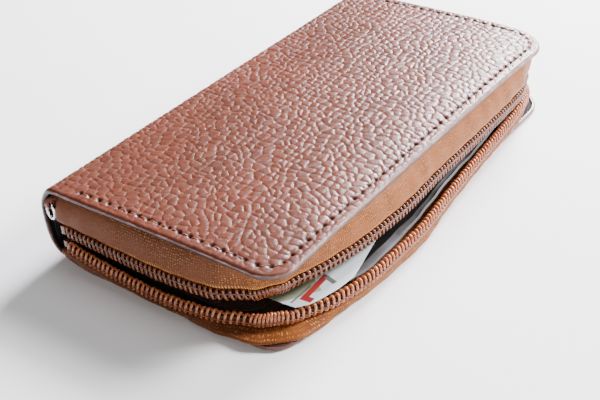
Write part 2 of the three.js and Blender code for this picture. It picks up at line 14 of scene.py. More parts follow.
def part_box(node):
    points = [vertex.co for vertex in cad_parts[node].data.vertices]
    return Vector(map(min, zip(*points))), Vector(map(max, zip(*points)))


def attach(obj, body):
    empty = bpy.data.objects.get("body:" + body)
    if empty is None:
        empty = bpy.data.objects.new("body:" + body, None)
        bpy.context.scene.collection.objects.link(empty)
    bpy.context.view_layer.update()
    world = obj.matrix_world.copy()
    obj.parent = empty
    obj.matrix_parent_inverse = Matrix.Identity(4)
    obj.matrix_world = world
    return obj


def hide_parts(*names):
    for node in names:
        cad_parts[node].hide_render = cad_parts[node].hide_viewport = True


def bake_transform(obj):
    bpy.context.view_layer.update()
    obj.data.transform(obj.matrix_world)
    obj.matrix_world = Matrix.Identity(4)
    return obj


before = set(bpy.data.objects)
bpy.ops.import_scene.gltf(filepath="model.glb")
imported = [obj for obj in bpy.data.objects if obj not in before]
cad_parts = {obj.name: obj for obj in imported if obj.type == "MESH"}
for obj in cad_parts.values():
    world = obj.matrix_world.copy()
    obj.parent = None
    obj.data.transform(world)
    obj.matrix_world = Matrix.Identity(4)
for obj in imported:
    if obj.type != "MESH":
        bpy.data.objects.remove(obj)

LOG = logging.getLogger("wallet")
MM = 0.001
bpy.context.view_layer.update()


def in_mm(node: str) -> tuple[np.ndarray, np.ndarray]:
    """Lowest and highest corner of a CAD node, in millimetres."""
    low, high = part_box(node)
    return np.array(low) / MM, np.array(high) / MM


COVER_LOW, COVER_HIGH = in_mm("front_cover_leather")
HALF_LENGTH = float(COVER_HIGH[0])
FRONT_Y = float(COVER_LOW[1])
HEIGHT = float(COVER_HIGH[2])
FOLD_Y = 46.0
SPINE_DEPTH = 6.9
NEAR_CORNER = 10.0
FAR_CORNER = 16.0
LEATHER_THICK = 1.4


class Body(Enum):
    """The rigid bodies that pieces ride on."""

    BACK = "back_half"
    SPINE = "spine"
    FRONT = "front_half"
    SLIDER = "zip_slider"
    PULL = "zip_pull"
    COIN_SLIDER = "coin_slider"
    COIN_PULL = "coin_pull"
    RING = "strap_ring_loop"
    PAPER = "paper"


class Side(Enum):
    """Which of the two halves of the wallet a piece belongs to."""

    UPPER = "upper"
    LOWER = "lower"


def smooth_step(low: float, high: float, value: np.ndarray) -> np.ndarray:
    """Eased 0 to 1 as value goes from low to high."""
    t = np.clip((value - low) / (high - low), 0, 1)
    return t * t * (3 - 2 * t)


def tint(red: int, green: int, blue: int) -> tuple[float, float, float, float]:
    """Linear colour from 0 to 255 display values."""
    linear = [((c / 255 + 0.055) / 1.055) ** 2.4 if c > 10 else c / 255 / 12.92 for c in (red, green, blue)]
    return (*linear, 1.0)


# ---- materials -------------------------------------------------------------
class Painter:
    """Wires one procedural material."""

    def __init__(self, name: str, roughness: float = 0.5, metallic: float = 0.0) -> None:
        """Start a material with its shader's plain values set."""
        self.material = bpy.data.materials.new(name)
        self.material.use_nodes = True
        self.tree = self.material.node_tree
        self.shader = self.tree.nodes["Principled BSDF"]
        self.shader.inputs["Roughness"].default_value = roughness
        self.shader.inputs["Metallic"].default_value = metallic

    def node(self, kind: str, **settings: object) -> bpy.types.Node:
        """Add a node and set its properties."""
        made = self.tree.nodes.new(kind)
        for key, value in settings.items():
            setattr(made, key, value)
        return made

    def feed(self, target: bpy.types.NodeSocket, value: object) -> None:
        """Link a socket, or set a constant."""
        if isinstance(value, bpy.types.NodeSocket):
            self.tree.links.new(value, target)
        else:
            target.default_value = value

    def place(self) -> bpy.types.NodeSocket:
        """Object coordinates."""
        return self.node("ShaderNodeTexCoord").outputs["Object"]

    def uv(self) -> bpy.types.NodeSocket:
        """Coordinates laid along the piece."""
        return self.node("ShaderNodeTexCoord").outputs["UV"]

    def axes(self, vector: bpy.types.NodeSocket) -> Sequence[bpy.types.NodeSocket]:
        """Split a vector into its three parts."""
        split = self.node("ShaderNodeSeparateXYZ")
        self.feed(split.inputs[0], vector)
        return split.outputs

    def noise(self, scale: float, detail: float = 3, rough: float = 0.5,
              vector: Optional[bpy.types.NodeSocket] = None) -> bpy.types.NodeSocket:
        """Noise value."""
        made = self.node("ShaderNodeTexNoise")
        self.feed(made.inputs["Vector"], vector or self.place())
        made.inputs["Scale"].default_value = scale
        made.inputs["Detail"].default_value = detail
        made.inputs["Roughness"].default_value = rough
        return made.outputs["Fac"]

    def cells(self, scale: float, feature: str = "DISTANCE_TO_EDGE") -> bpy.types.NodeSocket:
        """Cell pattern distance."""
        made = self.node("ShaderNodeTexVoronoi", feature=feature)
        self.feed(made.inputs["Vector"], self.place())
        made.inputs["Scale"].default_value = scale
        return made.outputs["Distance"]

    def sums(self, operation: str, a: object, b: object = 0.0) -> bpy.types.NodeSocket:
        """One arithmetic step."""
        made = self.node("ShaderNodeMath", operation=operation)
        self.feed(made.inputs[0], a)
        self.feed(made.inputs[1], b)
        return made.outputs[0]

    def wave(self, along: bpy.types.NodeSocket, period: float) -> bpy.types.NodeSocket:
        """Sine from 0 to 1 with a period in the coordinate's own unit."""
        turned = self.sums("SINE", self.sums("MULTIPLY", along, 2 * math.pi / period))
        return self.sums("ADD", self.sums("MULTIPLY", turned, 0.5), 0.5)

    def span(self, value: object, low: float, high: float, to_low: float = 0.0,
             to_high: float = 1.0) -> bpy.types.NodeSocket:
        """Eased map from one range to another."""
        made = self.node("ShaderNodeMapRange", interpolation_type="SMOOTHSTEP")
        for index, item in enumerate((value, low, high, to_low, to_high)):
            self.feed(made.inputs[index], item)
        return made.outputs[0]

    def blend(self, share: object, a: object, b: object) -> bpy.types.NodeSocket:
        """Mix two colours."""
        made = self.node("ShaderNodeMix", data_type="RGBA")
        self.feed(made.inputs[0], share)
        self.feed(made.inputs[6], a)
        self.feed(made.inputs[7], b)
        return made.outputs[2]

    def marked(self, name: str) -> bpy.types.NodeSocket:
        """A value stored on the mesh."""
        return self.node("ShaderNodeAttribute", attribute_name=name).outputs["Fac"]

    def bump(self, height: object, strength: float, depth_mm: float,
             over: Optional[bpy.types.NodeSocket] = None) -> bpy.types.NodeSocket:
        """Bumped normal."""
        made = self.node("ShaderNodeBump")
        made.inputs["Strength"].default_value = strength
        made.inputs["Distance"].default_value = depth_mm * MM
        self.feed(made.inputs["Height"], height)
        if over is not None:
            self.feed(made.inputs["Normal"], over)
        return made.outputs[0]

    def finish(self, colour: object = None, normal: object = None, rough: object = None,
               **constants: float) -> bpy.types.Material:
        """Plug the results into the shader."""
        for name, value in (("Base Color", colour), ("Normal", normal), ("Roughness", rough)):
            if value is not None:
                self.feed(self.shader.inputs[name], value)
        for name, value in constants.items():
            self.shader.inputs[name.replace("_", " ")].default_value = value
        return self.material


@dataclass(frozen=True)
class GrainedLeather:
    """Pebble-grained leather whose pebbles are modelled on the mesh."""

    face: tuple = tint(94, 51, 37)
    # darker cell tone, also used as the painted shade beside the creases
    dark_tone_and_crease_shade: tuple = tint(77, 40, 29)
    # crease: pale colour of the painted highlight lines along the creases, also of the fine specks
    crease: tuple = tint(146, 90, 70)
    # pit: near-black painted shade in the stitch holes
    pit: tuple = tint(12, 4, 3)
    roughness: float = 0.34

    def make(self) -> bpy.types.Material:
        """Build the material."""
        p = Painter("grained_leather", self.roughness)
        tone = p.blend(p.marked("tone"), self.dark_tone_and_crease_shade, self.face)
        tone = p.blend(p.span(p.noise(26, 2), 0.35, 0.7, 0.0, 0.3), tone, tint(118, 58, 43))
        gap = p.marked("gap")
        # painted shade: the pebbles darken next to each crease
        tone = p.blend(p.span(gap, 0.8, 0.2, 0.0, 0.6), tone, self.dark_tone_and_crease_shade)
        broken = p.span(p.noise(180, 2), 0.42, 0.62, 0.25, 0.8)
        # painted highlight: thin pale lines along the creases
        tone = p.blend(p.sums("MULTIPLY", p.span(gap, 0.36, 0.06), broken), tone, self.crease)
        speck = p.noise(2600, 2, 0.6)
        tone = p.blend(p.span(speck, 0.55, 0.8, 0.0, 0.2), tone, self.crease)
        # painted shade: the stitch holes go near-black
        tone = p.blend(p.marked("pit"), tone, self.pit)
        fine = p.bump(speck, 0.35, 0.12)
        lines = p.bump(p.span(gap, 0.0, 0.5), 0.3, 0.2, p.bump(p.noise(700, 4, 0.65), 0.3, 0.16, fine))
        rough = p.span(p.noise(420, 3), 0.3, 0.7, self.roughness - 0.07, self.roughness + 0.12)
        return p.finish(tone, lines, rough, Specular_IOR_Level=0.32)


@dataclass(frozen=True)
class SmoothLeather:
    """Plain leather for tabs, loops and card slots."""

    name: str
    face: tuple
    crease: tuple
    scale: float = 420.0
    roughness: float = 0.45

    def make(self) -> bpy.types.Material:
        """Build the material."""
        p = Painter(self.name, self.roughness)
        grain = p.span(p.cells(self.scale), 0.0, 0.22)
        colour = p.blend(p.span(p.noise(60, 3), 0.3, 0.7, 0.0, 0.35), self.face, self.crease)
        colour = p.blend(p.span(grain, 0.0, 1.0, 0.4, 0.0), colour, self.crease)
        normal = p.bump(p.noise(1500, 3), 0.3, 0.15, p.bump(grain, 0.5, 0.2))
        return p.finish(colour, normal, None, Coat_Weight=0.08)


@dataclass(frozen=True)
class EdgePaint:
    """Painted leather edge, slightly lumpy; its rim copy paints a pale highlight along the top of the edge.
    """

    name: str
    paint: tuple
    rubbed_and_highlight: tuple

    def make(self) -> bpy.types.Material:
        """Build the material."""
        p = Painter(self.name, 0.38)
        lumps = p.noise(240, 3)
        colour = p.blend(p.span(lumps, 0.45, 0.75, 0.0, 0.6), self.paint, self.rubbed_and_highlight)
        return p.finish(colour, p.bump(lumps, 0.5, 0.3), None, Coat_Weight=0.2)


@dataclass(frozen=True)
class WovenTape:
    """Zip tape: an open sparkling weave by the cover, ribs by the coil. Its UV is in millimetres."""

    base: tuple = tint(138, 80, 40)
    # painted shade: the tape's colour darkens over the near end of its run
    near_end_shade: tuple = tint(112, 68, 46)
    bright: tuple = tint(226, 160, 86)
    dark: tuple = tint(66, 30, 14)

    def make(self) -> bpy.types.Material:
        """Build the material."""
        p = Painter("woven_tape", 0.5)
        uv = p.uv()
        run, across, _ = p.axes(uv)
        wander = p.sums("MULTIPLY", p.noise(0.9, 3, 0.6, uv), 0.9)
        along = p.sums("ADD", run, wander)
        over = p.sums("ADD", across, wander)
        spark = p.span(p.noise(1.9, 2, 0.5, uv), 0.38, 0.62)
        grid = p.sums("MULTIPLY", p.sums("MULTIPLY", p.wave(along, 0.9), p.wave(over, 0.75)), spark)
        ribs = p.sums("MULTIPLY", p.wave(run, 0.95),
                      p.sums("ADD", p.sums("MULTIPLY", p.wave(over, 0.6), 0.3), 0.7))
        near_coil = p.span(across, 12.4, 13.4)
        height = p.node("ShaderNodeMix", data_type="FLOAT")
        p.feed(height.inputs[0], near_coil)
        p.feed(height.inputs[2], grid)
        p.feed(height.inputs[3], ribs)
        weave = height.outputs[0]
        patch = p.span(p.noise(0.12, 3, 0.5, uv), 0.38, 0.6, 0.35, 1.0)
        patch = p.sums("MULTIPLY", patch, p.span(run, 12.0, 42.0, 0.15, 1.0))
        # the base colour darkens toward the near end as painted shade
        colour = p.blend(p.sums("MULTIPLY", p.span(weave, 0.35, 0.8), p.sums("MULTIPLY", patch, 0.85)),
                         p.blend(p.span(run, 60.0, 95.0), self.near_end_shade, self.base), self.bright)
        colour = p.blend(p.sums("MULTIPLY", p.span(weave, 0.25, 0.0), p.sums("MULTIPLY", patch, 0.5)),
                         colour, self.dark)
        colour = p.blend(p.span(p.noise(0.8, 4, 0.6, uv), 0.5, 0.8, 0.0, 0.3), colour, self.dark)
        return p.finish(colour, p.bump(weave, 0.5, 0.18), None, Specular_IOR_Level=0.12)


@dataclass(frozen=True)
class Nylon:
    """Glossy moulded filament or thread."""

    name: str
    face: tuple
    worn_and_highlight: tuple
    roughness: float = 0.28

    def make(self) -> bpy.types.Material:
        """Build the material."""
        p = Painter(self.name, self.roughness)
        streak = p.noise(900, 3)
        # streaks of the second colour: wear, and on the coil filaments a painted highlight
        colour = p.blend(p.span(streak, 0.4, 0.75), self.face, self.worn_and_highlight)
        return p.finish(colour, p.bump(streak, 0.2, 0.08), None, Specular_IOR_Level=0.6, Coat_Weight=0.25)


@dataclass(frozen=True)
class Cloth:
    """Plain woven lining or satin in the row frame's X and Y."""

    name: str
    face: tuple
    thread: tuple
    period_mm: float = 0.5
    roughness: float = 0.7

    def make(self) -> bpy.types.Material:
        """Build the material."""
        p = Painter(self.name, self.roughness)
        x, y, _ = p.axes(p.place())
        weave = p.sums("MULTIPLY", p.wave(x, self.period_mm * MM), p.wave(y, self.period_mm * MM))
        folds = p.noise(45, 3)
        colour = p.blend(p.span(weave, 0.1, 0.9), self.face, self.thread)
        colour = p.blend(p.span(folds, 0.4, 0.75, 0.0, 0.35), colour, self.thread)
        normal = p.bump(folds, 0.5, 1.2, p.bump(weave, 0.4, 0.12))
        return p.finish(colour, normal)


@dataclass(frozen=True)
class SatinEdge:
    """A band of grey satin along the leaf's front edge; behind it the leaf is painted near-black as the shade
    under the cover.
    """

    satin: tuple = tint(68, 65, 65)
    light: tuple = tint(96, 95, 101)
    painted_shade_cloth: tuple = tint(9, 7, 6)
    band_mm: float = 3.2

    def make(self) -> bpy.types.Material:
        """Build the material."""
        p = Painter("satin_leaf_with_painted_shade", 0.38)
        x, _, _ = p.axes(p.place())
        folds = p.noise(60, 3)
        satin = p.blend(p.span(folds, 0.35, 0.7), self.satin, self.light)
        satin = p.blend(p.sums("MULTIPLY", p.wave(x, 0.5 * MM), 0.2), satin, self.light)
        bound = p.span(p.marked("from_edge"), self.band_mm, self.band_mm - 0.3)
        # painted shade: everything behind the satin band goes near-black
        colour = p.blend(bound, self.painted_shade_cloth, satin)
        rough = p.span(bound, 0.0, 1.0, 0.85, 0.48)
        return p.finish(colour, p.bump(folds, 0.5, 1.0), rough, Specular_IOR_Level=0.12)


@dataclass(frozen=True)
class Plating:
    """Polished plating with fine scratches."""

    face: tuple = tint(226, 222, 216)

    def make(self) -> bpy.types.Material:
        """Build the material."""
        p = Painter("polished_plating", 0.14, 1.0)
        scratch = p.noise(1400, 4, 0.7)
        rough = p.span(scratch, 0.4, 0.8, 0.1, 0.3)
        colour = p.blend(p.span(p.noise(300, 3), 0.45, 0.8, 0.0, 0.35), self.face, tint(176, 168, 158))
        return p.finish(colour, p.bump(scratch, 0.12, 0.05), rough)


@dataclass(frozen=True)
class Board:
    """Grey-brown stiffening board with fibre flecks."""

    def make(self) -> bpy.types.Material:
        """Build the material."""
        p = Painter("fibre_board", 0.9)
        flecks = p.noise(800, 5, 0.7)
        colour = p.blend(p.span(flecks, 0.4, 0.65), tint(120, 110, 98), tint(165, 154, 140))
        return p.finish(colour, p.bump(flecks, 0.4, 0.2))


@dataclass(frozen=True)
class PrintedPaper:
    """Pale paper with a slanted red band, a pale green patch, a thin rule and a grey painted fold shadow."""

    base: tuple = tint(206, 214, 220)
    red: tuple = tint(150, 10, 8)
    green: tuple = tint(150, 152, 126)
    # grey: ink of the thin rule, and the painted fold shadow
    grey: tuple = tint(96, 96, 92)

    def band(self, p: Painter, centre: tuple[float, float], angle: float, half: tuple[float, float],
             soft: float = 0.25) -> bpy.types.NodeSocket:
        """Mask of a turned rectangle on the paper.

        Args:
            p: the material being made.
            centre: middle of the rectangle, in millimetres.
            angle: turn of its long side from +X, in degrees.
            half: half length and half width, in millimetres.
            soft: width of its soft edge.

        Returns:
            A socket that is 1 inside.
        """
        x, y, _ = p.axes(p.place())
        c, s = math.cos(math.radians(angle)), math.sin(math.radians(angle))
        dx = p.sums("SUBTRACT", p.sums("MULTIPLY", x, 1 / MM), centre[0])
        dy = p.sums("SUBTRACT", p.sums("MULTIPLY", y, 1 / MM), centre[1])
        u = p.sums("ABSOLUTE", p.sums("ADD", p.sums("MULTIPLY", dx, c), p.sums("MULTIPLY", dy, s)))
        v = p.sums("ABSOLUTE", p.sums("SUBTRACT", p.sums("MULTIPLY", dy, c), p.sums("MULTIPLY", dx, s)))
        return p.sums("MULTIPLY", p.span(u, half[0] + soft, half[0]), p.span(v, half[1] + soft, half[1]))

    def make(self) -> bpy.types.Material:
        """Build the material."""
        p = Painter("printed_paper", 0.55)
        fibre = p.noise(900, 4, 0.6)
        colour = p.blend(p.span(fibre, 0.35, 0.7, 0.0, 0.25), self.base, tint(205, 216, 224))
        for swatch, centre, angle, half in PAPER_PRINT_AND_SHADE:
            colour = p.blend(self.band(p, centre, angle, half), colour, getattr(self, swatch))
        return p.finish(colour, p.bump(fibre, 0.15, 0.08), None, Sheen_Weight=0.1)


PAPER_PRINT_AND_SHADE = (
    ("green", (-78.7, -39.8), -36.0, (9.5, 3.4)),
    ("grey", (-77.8, -43.4), -2.0, (5.2, 0.25)),
    ("red", (-72.0, -45.3), 2.0, (6.6, 1.0)),
    ("red", (-79.0, -46.6), 88.0, (2.1, 1.15)),
    # painted shadow: a grey patch where the slip folds
    ("grey", (-67.0, -47.6), 70.0, (2.4, 0.8)),
)


@dataclass(frozen=True)
class TableTop:
    """Plain pale floor."""

    def make(self) -> bpy.types.Material:
        """Build the material."""
        p = Painter("pale_floor", 0.75)
        colour = p.blend(p.noise(8, 2), tint(244, 244, 246), tint(250, 250, 252))
        return p.finish(colour, None, None, Specular_IOR_Level=0.12)


FINISHES: dict[str, bpy.types.Material] = {}


def mix_finishes() -> None:
    """Make every finish once."""
    recipes = {
        "grain": GrainedLeather(),
        "edge": EdgePaint("edge_paint", tint(40, 20, 18), tint(78, 48, 46)),
        # painted highlight: a pale line along the top corner of the cover's edge
        "rim": EdgePaint("painted_rim_highlight", tint(112, 74, 70), tint(188, 154, 152)),
        "tape": WovenTape(), "metal": Plating(), "board": Board(),
        "paper": PrintedPaper(), "floor": TableTop(),
        "tab": SmoothLeather("tab_leather", tint(118, 62, 48), tint(156, 98, 80)),
        "panel": SmoothLeather("slot_leather", tint(38, 25, 21), tint(66, 46, 39), 700.0, 0.5),
        # painted shade and light: the upper coil's filament is a darkened copy and the lower coil's a
        # lightened copy of one filament colour
        "coil": Nylon("shaded_coil_filament", tint(94, 44, 22), tint(146, 84, 46), 0.2),
        "lit_low_coil": Nylon("lower_coil_filament", tint(164, 86, 50), tint(212, 140, 94), 0.2),
        "turned": EdgePaint("turned_rim", tint(96, 52, 40), tint(140, 90, 76)),
        # painted shade: the core is near-black brown so the gaps between the coil's turns read dark
        "core": Nylon("shaded_coil_core", tint(40, 16, 8), tint(66, 30, 18), 0.7),
        "chain": Nylon("sewing_chain", tint(104, 54, 26), tint(146, 86, 46), 0.5),
        "thread": Nylon("stitch_thread", tint(84, 40, 30), tint(126, 72, 58), 0.6),
        "dark_thread": Nylon("dark_stitch_thread", tint(70, 48, 40), tint(96, 70, 60), 0.6),
        "lining": Cloth("dark_lining", tint(14, 10, 9), tint(30, 23, 21), roughness=0.95),
        "satin": SatinEdge(),
    }
    for key, recipe in recipes.items():
        FINISHES[key] = recipe.make()


# ---- mesh tools --------------------------------------------------------------
def add_mesh(name: str, points: np.ndarray, faces: Sequence[Sequence[int]], finish: str, smooth: bool = True,
             marks: Optional[dict[str, np.ndarray]] = None) -> bpy.types.Object:
    """Make a mesh object.

    Args:
        name: the piece's name.
        points: corner positions in millimetres, in the row frame.
        faces: corner numbers of each face.
        finish: key of its main finish.
        smooth: whether it is shaded smooth.
        marks: values stored on its corners, by name.

    Returns:
        The new object.
    """
    mesh = bpy.data.meshes.new(name)
    mesh.from_pydata((np.asarray(points, float) * MM).tolist(), [], [list(map(int, f)) for f in faces])
    mesh.update()
    if smooth:
        mesh.shade_smooth()
    for key, values in (marks or {}).items():
        layer = mesh.attributes.new(key, "FLOAT", "POINT")
        layer.data.foreach_set("value", np.asarray(values, np.float32))
    obj = bpy.data.objects.new(name, mesh)
    bpy.context.scene.collection.objects.link(obj)
    mesh.materials.append(FINISHES[finish])
    return obj


def settle(obj: bpy.types.Object, body: Body, slot: str, *nodes: str) -> bpy.types.Object:
    """Let a piece ride on its body and hide the CAD nodes that it stands for."""
    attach(obj, body.value)
    if nodes:
        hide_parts(*nodes)
    LOG.info("piece %s rides %s", obj.name, body.value)
    return obj


def grid_faces(rows: int, columns: int, start: int = 0, closed: bool = False,
               flip: bool = False) -> list[list[int]]:
    """Quads of a grid stored row by row; closed joins the last column to the first."""
    r = np.arange(rows - 1)[:, None]
    c = np.arange(columns if closed else columns - 1)[None, :]
    n = (c + 1) % columns
    a, b = start + r * columns + c, start + r * columns + n
    d, e = start + (r + 1) * columns + c, start + (r + 1) * columns + n
    quads = np.stack([a, b, e, d] if not flip else [a, d, e, b], -1).reshape(-1, 4)
    return quads.tolist()


def tube(path: np.ndarray, radius: float, sides: int, guide: np.ndarray,
         flat: float = 1.0) -> tuple[np.ndarray, list[list[int]]]:
    """Closed round tube along a path.

    Args:
        path: centre points, in millimetres.
        radius: its radius.
        sides: corners round it.
        guide: a direction per point that the path never runs along.
        flat: thickness across the guide as a share of the width.

    Returns:
        Its points and faces.
    """
    along = np.gradient(path, axis=0)
    along /= np.linalg.norm(along, axis=1)[:, None]
    first = np.cross(guide, along)
    first /= np.linalg.norm(first, axis=1)[:, None]
    second = np.cross(along, first)
    turn = np.linspace(0, 2 * np.pi, sides, endpoint=False)
    ring = first[:, None] * np.cos(turn)[None, :, None] * flat + second[:, None] * np.sin(turn)[None, :, None]
    points = (path[:, None] + ring * radius).reshape(-1, 3)
    faces = grid_faces(len(path), sides, closed=True)
    last = (len(path) - 1) * sides
    faces.append(list(range(sides))[::-1])
    faces.append([last + i for i in range(sides)])
    return points, faces


def merge(parts: Sequence[tuple[np.ndarray, list[list[int]]]]) -> tuple[np.ndarray, list[list[int]]]:
    """Put several meshes into one list of points and faces."""
    points, faces, start = [], [], 0
    for p, f in parts:
        points.append(p)
        faces.extend([[i + start for i in face] for face in f])
        start += len(p)
    return np.concatenate(points), faces


def evaluated(obj: bpy.types.Object) -> None:
    """Apply an object's modifiers to its mesh."""
    depsgraph = bpy.context.evaluated_depsgraph_get()
    mesh = bpy.data.meshes.new_from_object(obj.evaluated_get(depsgraph))
    obj.modifiers.clear()
    obj.data = mesh


def refine(node: str, finish: str, body: Body, slot: str, bevel: float = 0.15, segments: int = 2,
           shape: Optional[Callable[[np.ndarray], np.ndarray]] = None, cut: float = 0.0) -> bpy.types.Object:
    """Rebuild a CAD piece with rounded edges in its own finish.

    Args:
        node: the CAD node.
        finish: key of its finish.
        body: the body that it rides on.
        slot: its material slot; not used.
        bevel: edge radius in millimetres.
        segments: steps round each edge.
        shape: moves its points, in millimetres, after the edges are rounded.
        cut: grid size for a sheet that has to bend, in millimetres; 0 leaves it whole.

    Returns:
        The new piece.
    """
    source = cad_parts[node]
    mesh = source.data.copy()
    work = bmesh.new()
    work.from_mesh(mesh)
    bmesh.ops.remove_doubles(work, verts=work.verts, dist=2e-6)
    bmesh.ops.dissolve_limit(work, angle_limit=0.03, verts=work.verts, edges=work.edges)
    if cut:
        low, high = in_mm(node)
        for axis in (0, 1):
            count = max(int((high[axis] - low[axis]) / cut), 1)
            for i in range(1, count):
                spot = Vector((0, 0, 0))
                spot[axis] = (low[axis] + (high[axis] - low[axis]) * i / count) * MM
                normal = Vector((0, 0, 0))
                normal[axis] = 1
                geometry = work.verts[:] + work.edges[:] + work.faces[:]
                bmesh.ops.bisect_plane(work, geom=geometry, plane_co=spot, plane_no=normal)
    work.to_mesh(mesh)
    work.free()
    mesh.materials.clear()
    mesh.materials.append(FINISHES[finish])
    obj = bpy.data.objects.new("fine_" + node, mesh)
    bpy.context.scene.collection.objects.link(obj)
    rounding = obj.modifiers.new("edges", "BEVEL")
    rounding.width = bevel * MM
    rounding.segments = segments
    rounding.limit_method = "ANGLE"
    rounding.angle_limit = math.radians(35)
    evaluated(obj)
    if shape is not None:
        count = len(obj.data.vertices)
        co = np.zeros(count * 3)
        obj.data.vertices.foreach_get("co", co)
        moved = shape(co.reshape(-1, 3) / MM) * MM
        obj.data.vertices.foreach_set("co", moved.reshape(-1))
    obj.data.shade_smooth()
    obj.data.set_sharp_from_angle(angle=math.radians(40))
    return settle(obj, body, slot, node)


def stitches(name: str, path: np.ndarray, up: np.ndarray, pitch: float, length: float, radius: float,
             finish: str) -> bpy.types.Object:
    """A row of sewn stitches that dip at both ends.

    Args:
        name: the piece's name.
        path: points along the seam.
        up: outward direction at each point.
        pitch: distance between stitch holes.
        length: visible length of one stitch.
        radius: thread radius.
        finish: key of its finish.

    Returns:
        The new object, not yet on a body.
    """
    run = np.concatenate([[0], np.cumsum(np.linalg.norm(np.diff(path, axis=0), axis=1))])
    parts = []
    for k in range(int(run[-1] / pitch)):
        middle = (k + 0.5) * pitch
        s = middle + np.linspace(-0.5, 0.5, 7) * length
        arch = 1 - (np.linspace(-1, 1, 7)) ** 4
        spot = np.stack([np.interp(s, run, path[:, i]) for i in range(3)], -1)
        lift = np.stack([np.interp(s, run, up[:, i]) for i in range(3)], -1)
        parts.append(tube(spot + lift * ((arch - 1) * radius * 2.4)[:, None], radius, 6, lift))
    points, faces = merge(parts)
    return add_mesh(name, points, faces, finish)


# ---- the zip's run -------------------------------------------------------------
@dataclass(frozen=True)
class Station:
    """Shape of the zip at one place along its run, in millimetres."""

    s: float
    upper: float
    lower: float
    belly: float
    high: float
    low: float
    shoulder: float


@dataclass
class ZipRun:
    """The rounded U that both tapes and coils follow."""

    corner: float = 14.0
    start_y: float = 43.3

    def __post_init__(self) -> None:
        """Work out the lengths of its stretches and its stations."""
        self.near = self.start_y - FRONT_Y - self.corner
        self.bend = math.pi / 2 * self.corner
        self.long = 2 * (HALF_LENGTH - self.corner)
        self.length = 2 * self.near + 2 * self.bend + self.long
        n, one, x, two, f = self.on_near, self.on_first_bend, self.on_long, self.on_second_bend, self.on_far
        rows = (
            (n(43.3), 1.9, 1.9, 1.2, 19.4, 9.2, 1.2), (n(30), 1.9, 2.1, 1.4, 18.6, 6.8, 1.2),
            (n(0), 2.2, 2.4, 1.8, 17.6, 4.3, 1.2), (n(-22), 0.7, 0, 2.7, 17.4, 3.9, 1.2),
            (one(0), -4.3, -4.6, 1.7, 18.1, 4.1, 1.2), (one(0.5), -6.6, -5.8, 0.6, 18.7, 4.7, 1.2),
            (one(1), -5.6, -2.6, 2.4, 18.9, 4.9, 1.2), (x(-70), -1.7, 3.5, 4.1, 18.9, 4.9, 1.2),
            (x(-50), 1.7, 6.9, 6.8, 18.7, 4.8, 1.2), (x(-25), 2.9, 7.3, 7.8, 18.5, 4.7, 1.2),
            (x(0), 2.0, 5.2, 4.9, 18.3, 5.0, 1.2), (x(25), 1.8, 3.4, 2.1, 18.1, 5.8, 1.2),
            (x(50), 1.5, 2.0, -0.3, 17.9, 6.6, 1.2), (x(70), 0.4, 0.3, -2.2, 17.7, 7.2, 1.4),
            (two(0), -3.4, -3.0, -3.4, 17.6, 7.5, 1.8), (two(0.5), -5.2, -4.8, -3.4, 17.6, 7.6, 2.4),
            (two(1), -3.0, -3.0, -2.6, 17.6, 7.6, 3.0), (f(-20), 0, 0, -1, 17.6, 7.6, 3.4),
            (f(43.3), 0, 0, -1, 17.6, 7.6, 3.4),
        )
        self.stations = [Station(*row) for row in rows]

    def on_near(self, y: float) -> float:
        """Place along the run of a point on the near end."""
        return self.start_y - y

    def on_first_bend(self, share: float) -> float:
        """Place along the run on the near corner."""
        return self.near + share * self.bend

    def on_long(self, x: float) -> float:
        """Place along the run on the opening side."""
        return self.near + self.bend + x + HALF_LENGTH - self.corner

    def on_second_bend(self, share: float) -> float:
        """Place along the run on the far corner."""
        return self.near + self.bend + self.long + share * self.bend

    def on_far(self, y: float) -> float:
        """Place along the run of a point on the far end."""
        return self.length - (self.start_y - y)

    def lean(self, s: np.ndarray) -> np.ndarray:
        """Share of the lower coil's outward lean; it stands upright where the slider runs."""
        return 1 - smooth_step(self.on_second_bend(0), self.on_second_bend(1), s)

    def curve(self, key: str, s: np.ndarray) -> np.ndarray:
        """A station value along the run, smooth and without overshoot."""
        at = np.array([station.s for station in self.stations])
        v = np.array([getattr(station, key) for station in self.stations], float)
        slope = np.diff(v) / np.diff(at)
        a, b = slope[:-1], slope[1:]
        with np.errstate(divide="ignore", invalid="ignore"):
            inner = np.where(a * b <= 0, 0, 2 * a * b / (a + b))
        tangent = np.concatenate([[slope[0]], inner, [slope[-1]]])
        i = np.clip(np.searchsorted(at, s, side="left") - 1, 0, len(at) - 2)
        h = at[i + 1] - at[i]
        t = np.clip((s - at[i]) / h, 0, 1)
        return ((1 + 2 * t) * (1 - t) ** 2 * v[i] + t * t * (3 - 2 * t) * v[i + 1]
                + t * (1 - t) ** 2 * h * tangent[i] + t * t * (t - 1) * h * tangent[i + 1])

    def at(self, s: np.ndarray) -> tuple[np.ndarray, np.ndarray]:
        """Points on the run and the outward direction at each."""
        r, near, bend, long = self.corner, self.near, self.bend, self.long
        one = np.clip((s - near) / r, 0, math.pi / 2)
        two = np.clip((s - near - bend - long) / r, 0, math.pi / 2)
        out = np.stack([-np.cos(one) * (two <= 0) + np.sin(two) * (two > 0),
                        -np.sin(one) * (two <= 0) - np.cos(two) * (two > 0), np.zeros_like(s)], -1)
        centre_x = -HALF_LENGTH + r + np.clip(s - near - bend, 0, long)
        before = np.clip(near - s, 0, None)
        after = np.clip(s - near - 2 * bend - long, 0, None)
        centre = np.stack([centre_x, FRONT_Y + r + before + after, np.zeros_like(s)], -1)
        return centre + out * r, out

    def spot(self, s: np.ndarray, outward: np.ndarray, height: np.ndarray) -> np.ndarray:
        """Points at a distance outward and a height, along the run."""
        base, out = self.at(s)
        points = base + out * np.asarray(outward)[:, None]
        points[:, 2] = height
        return points


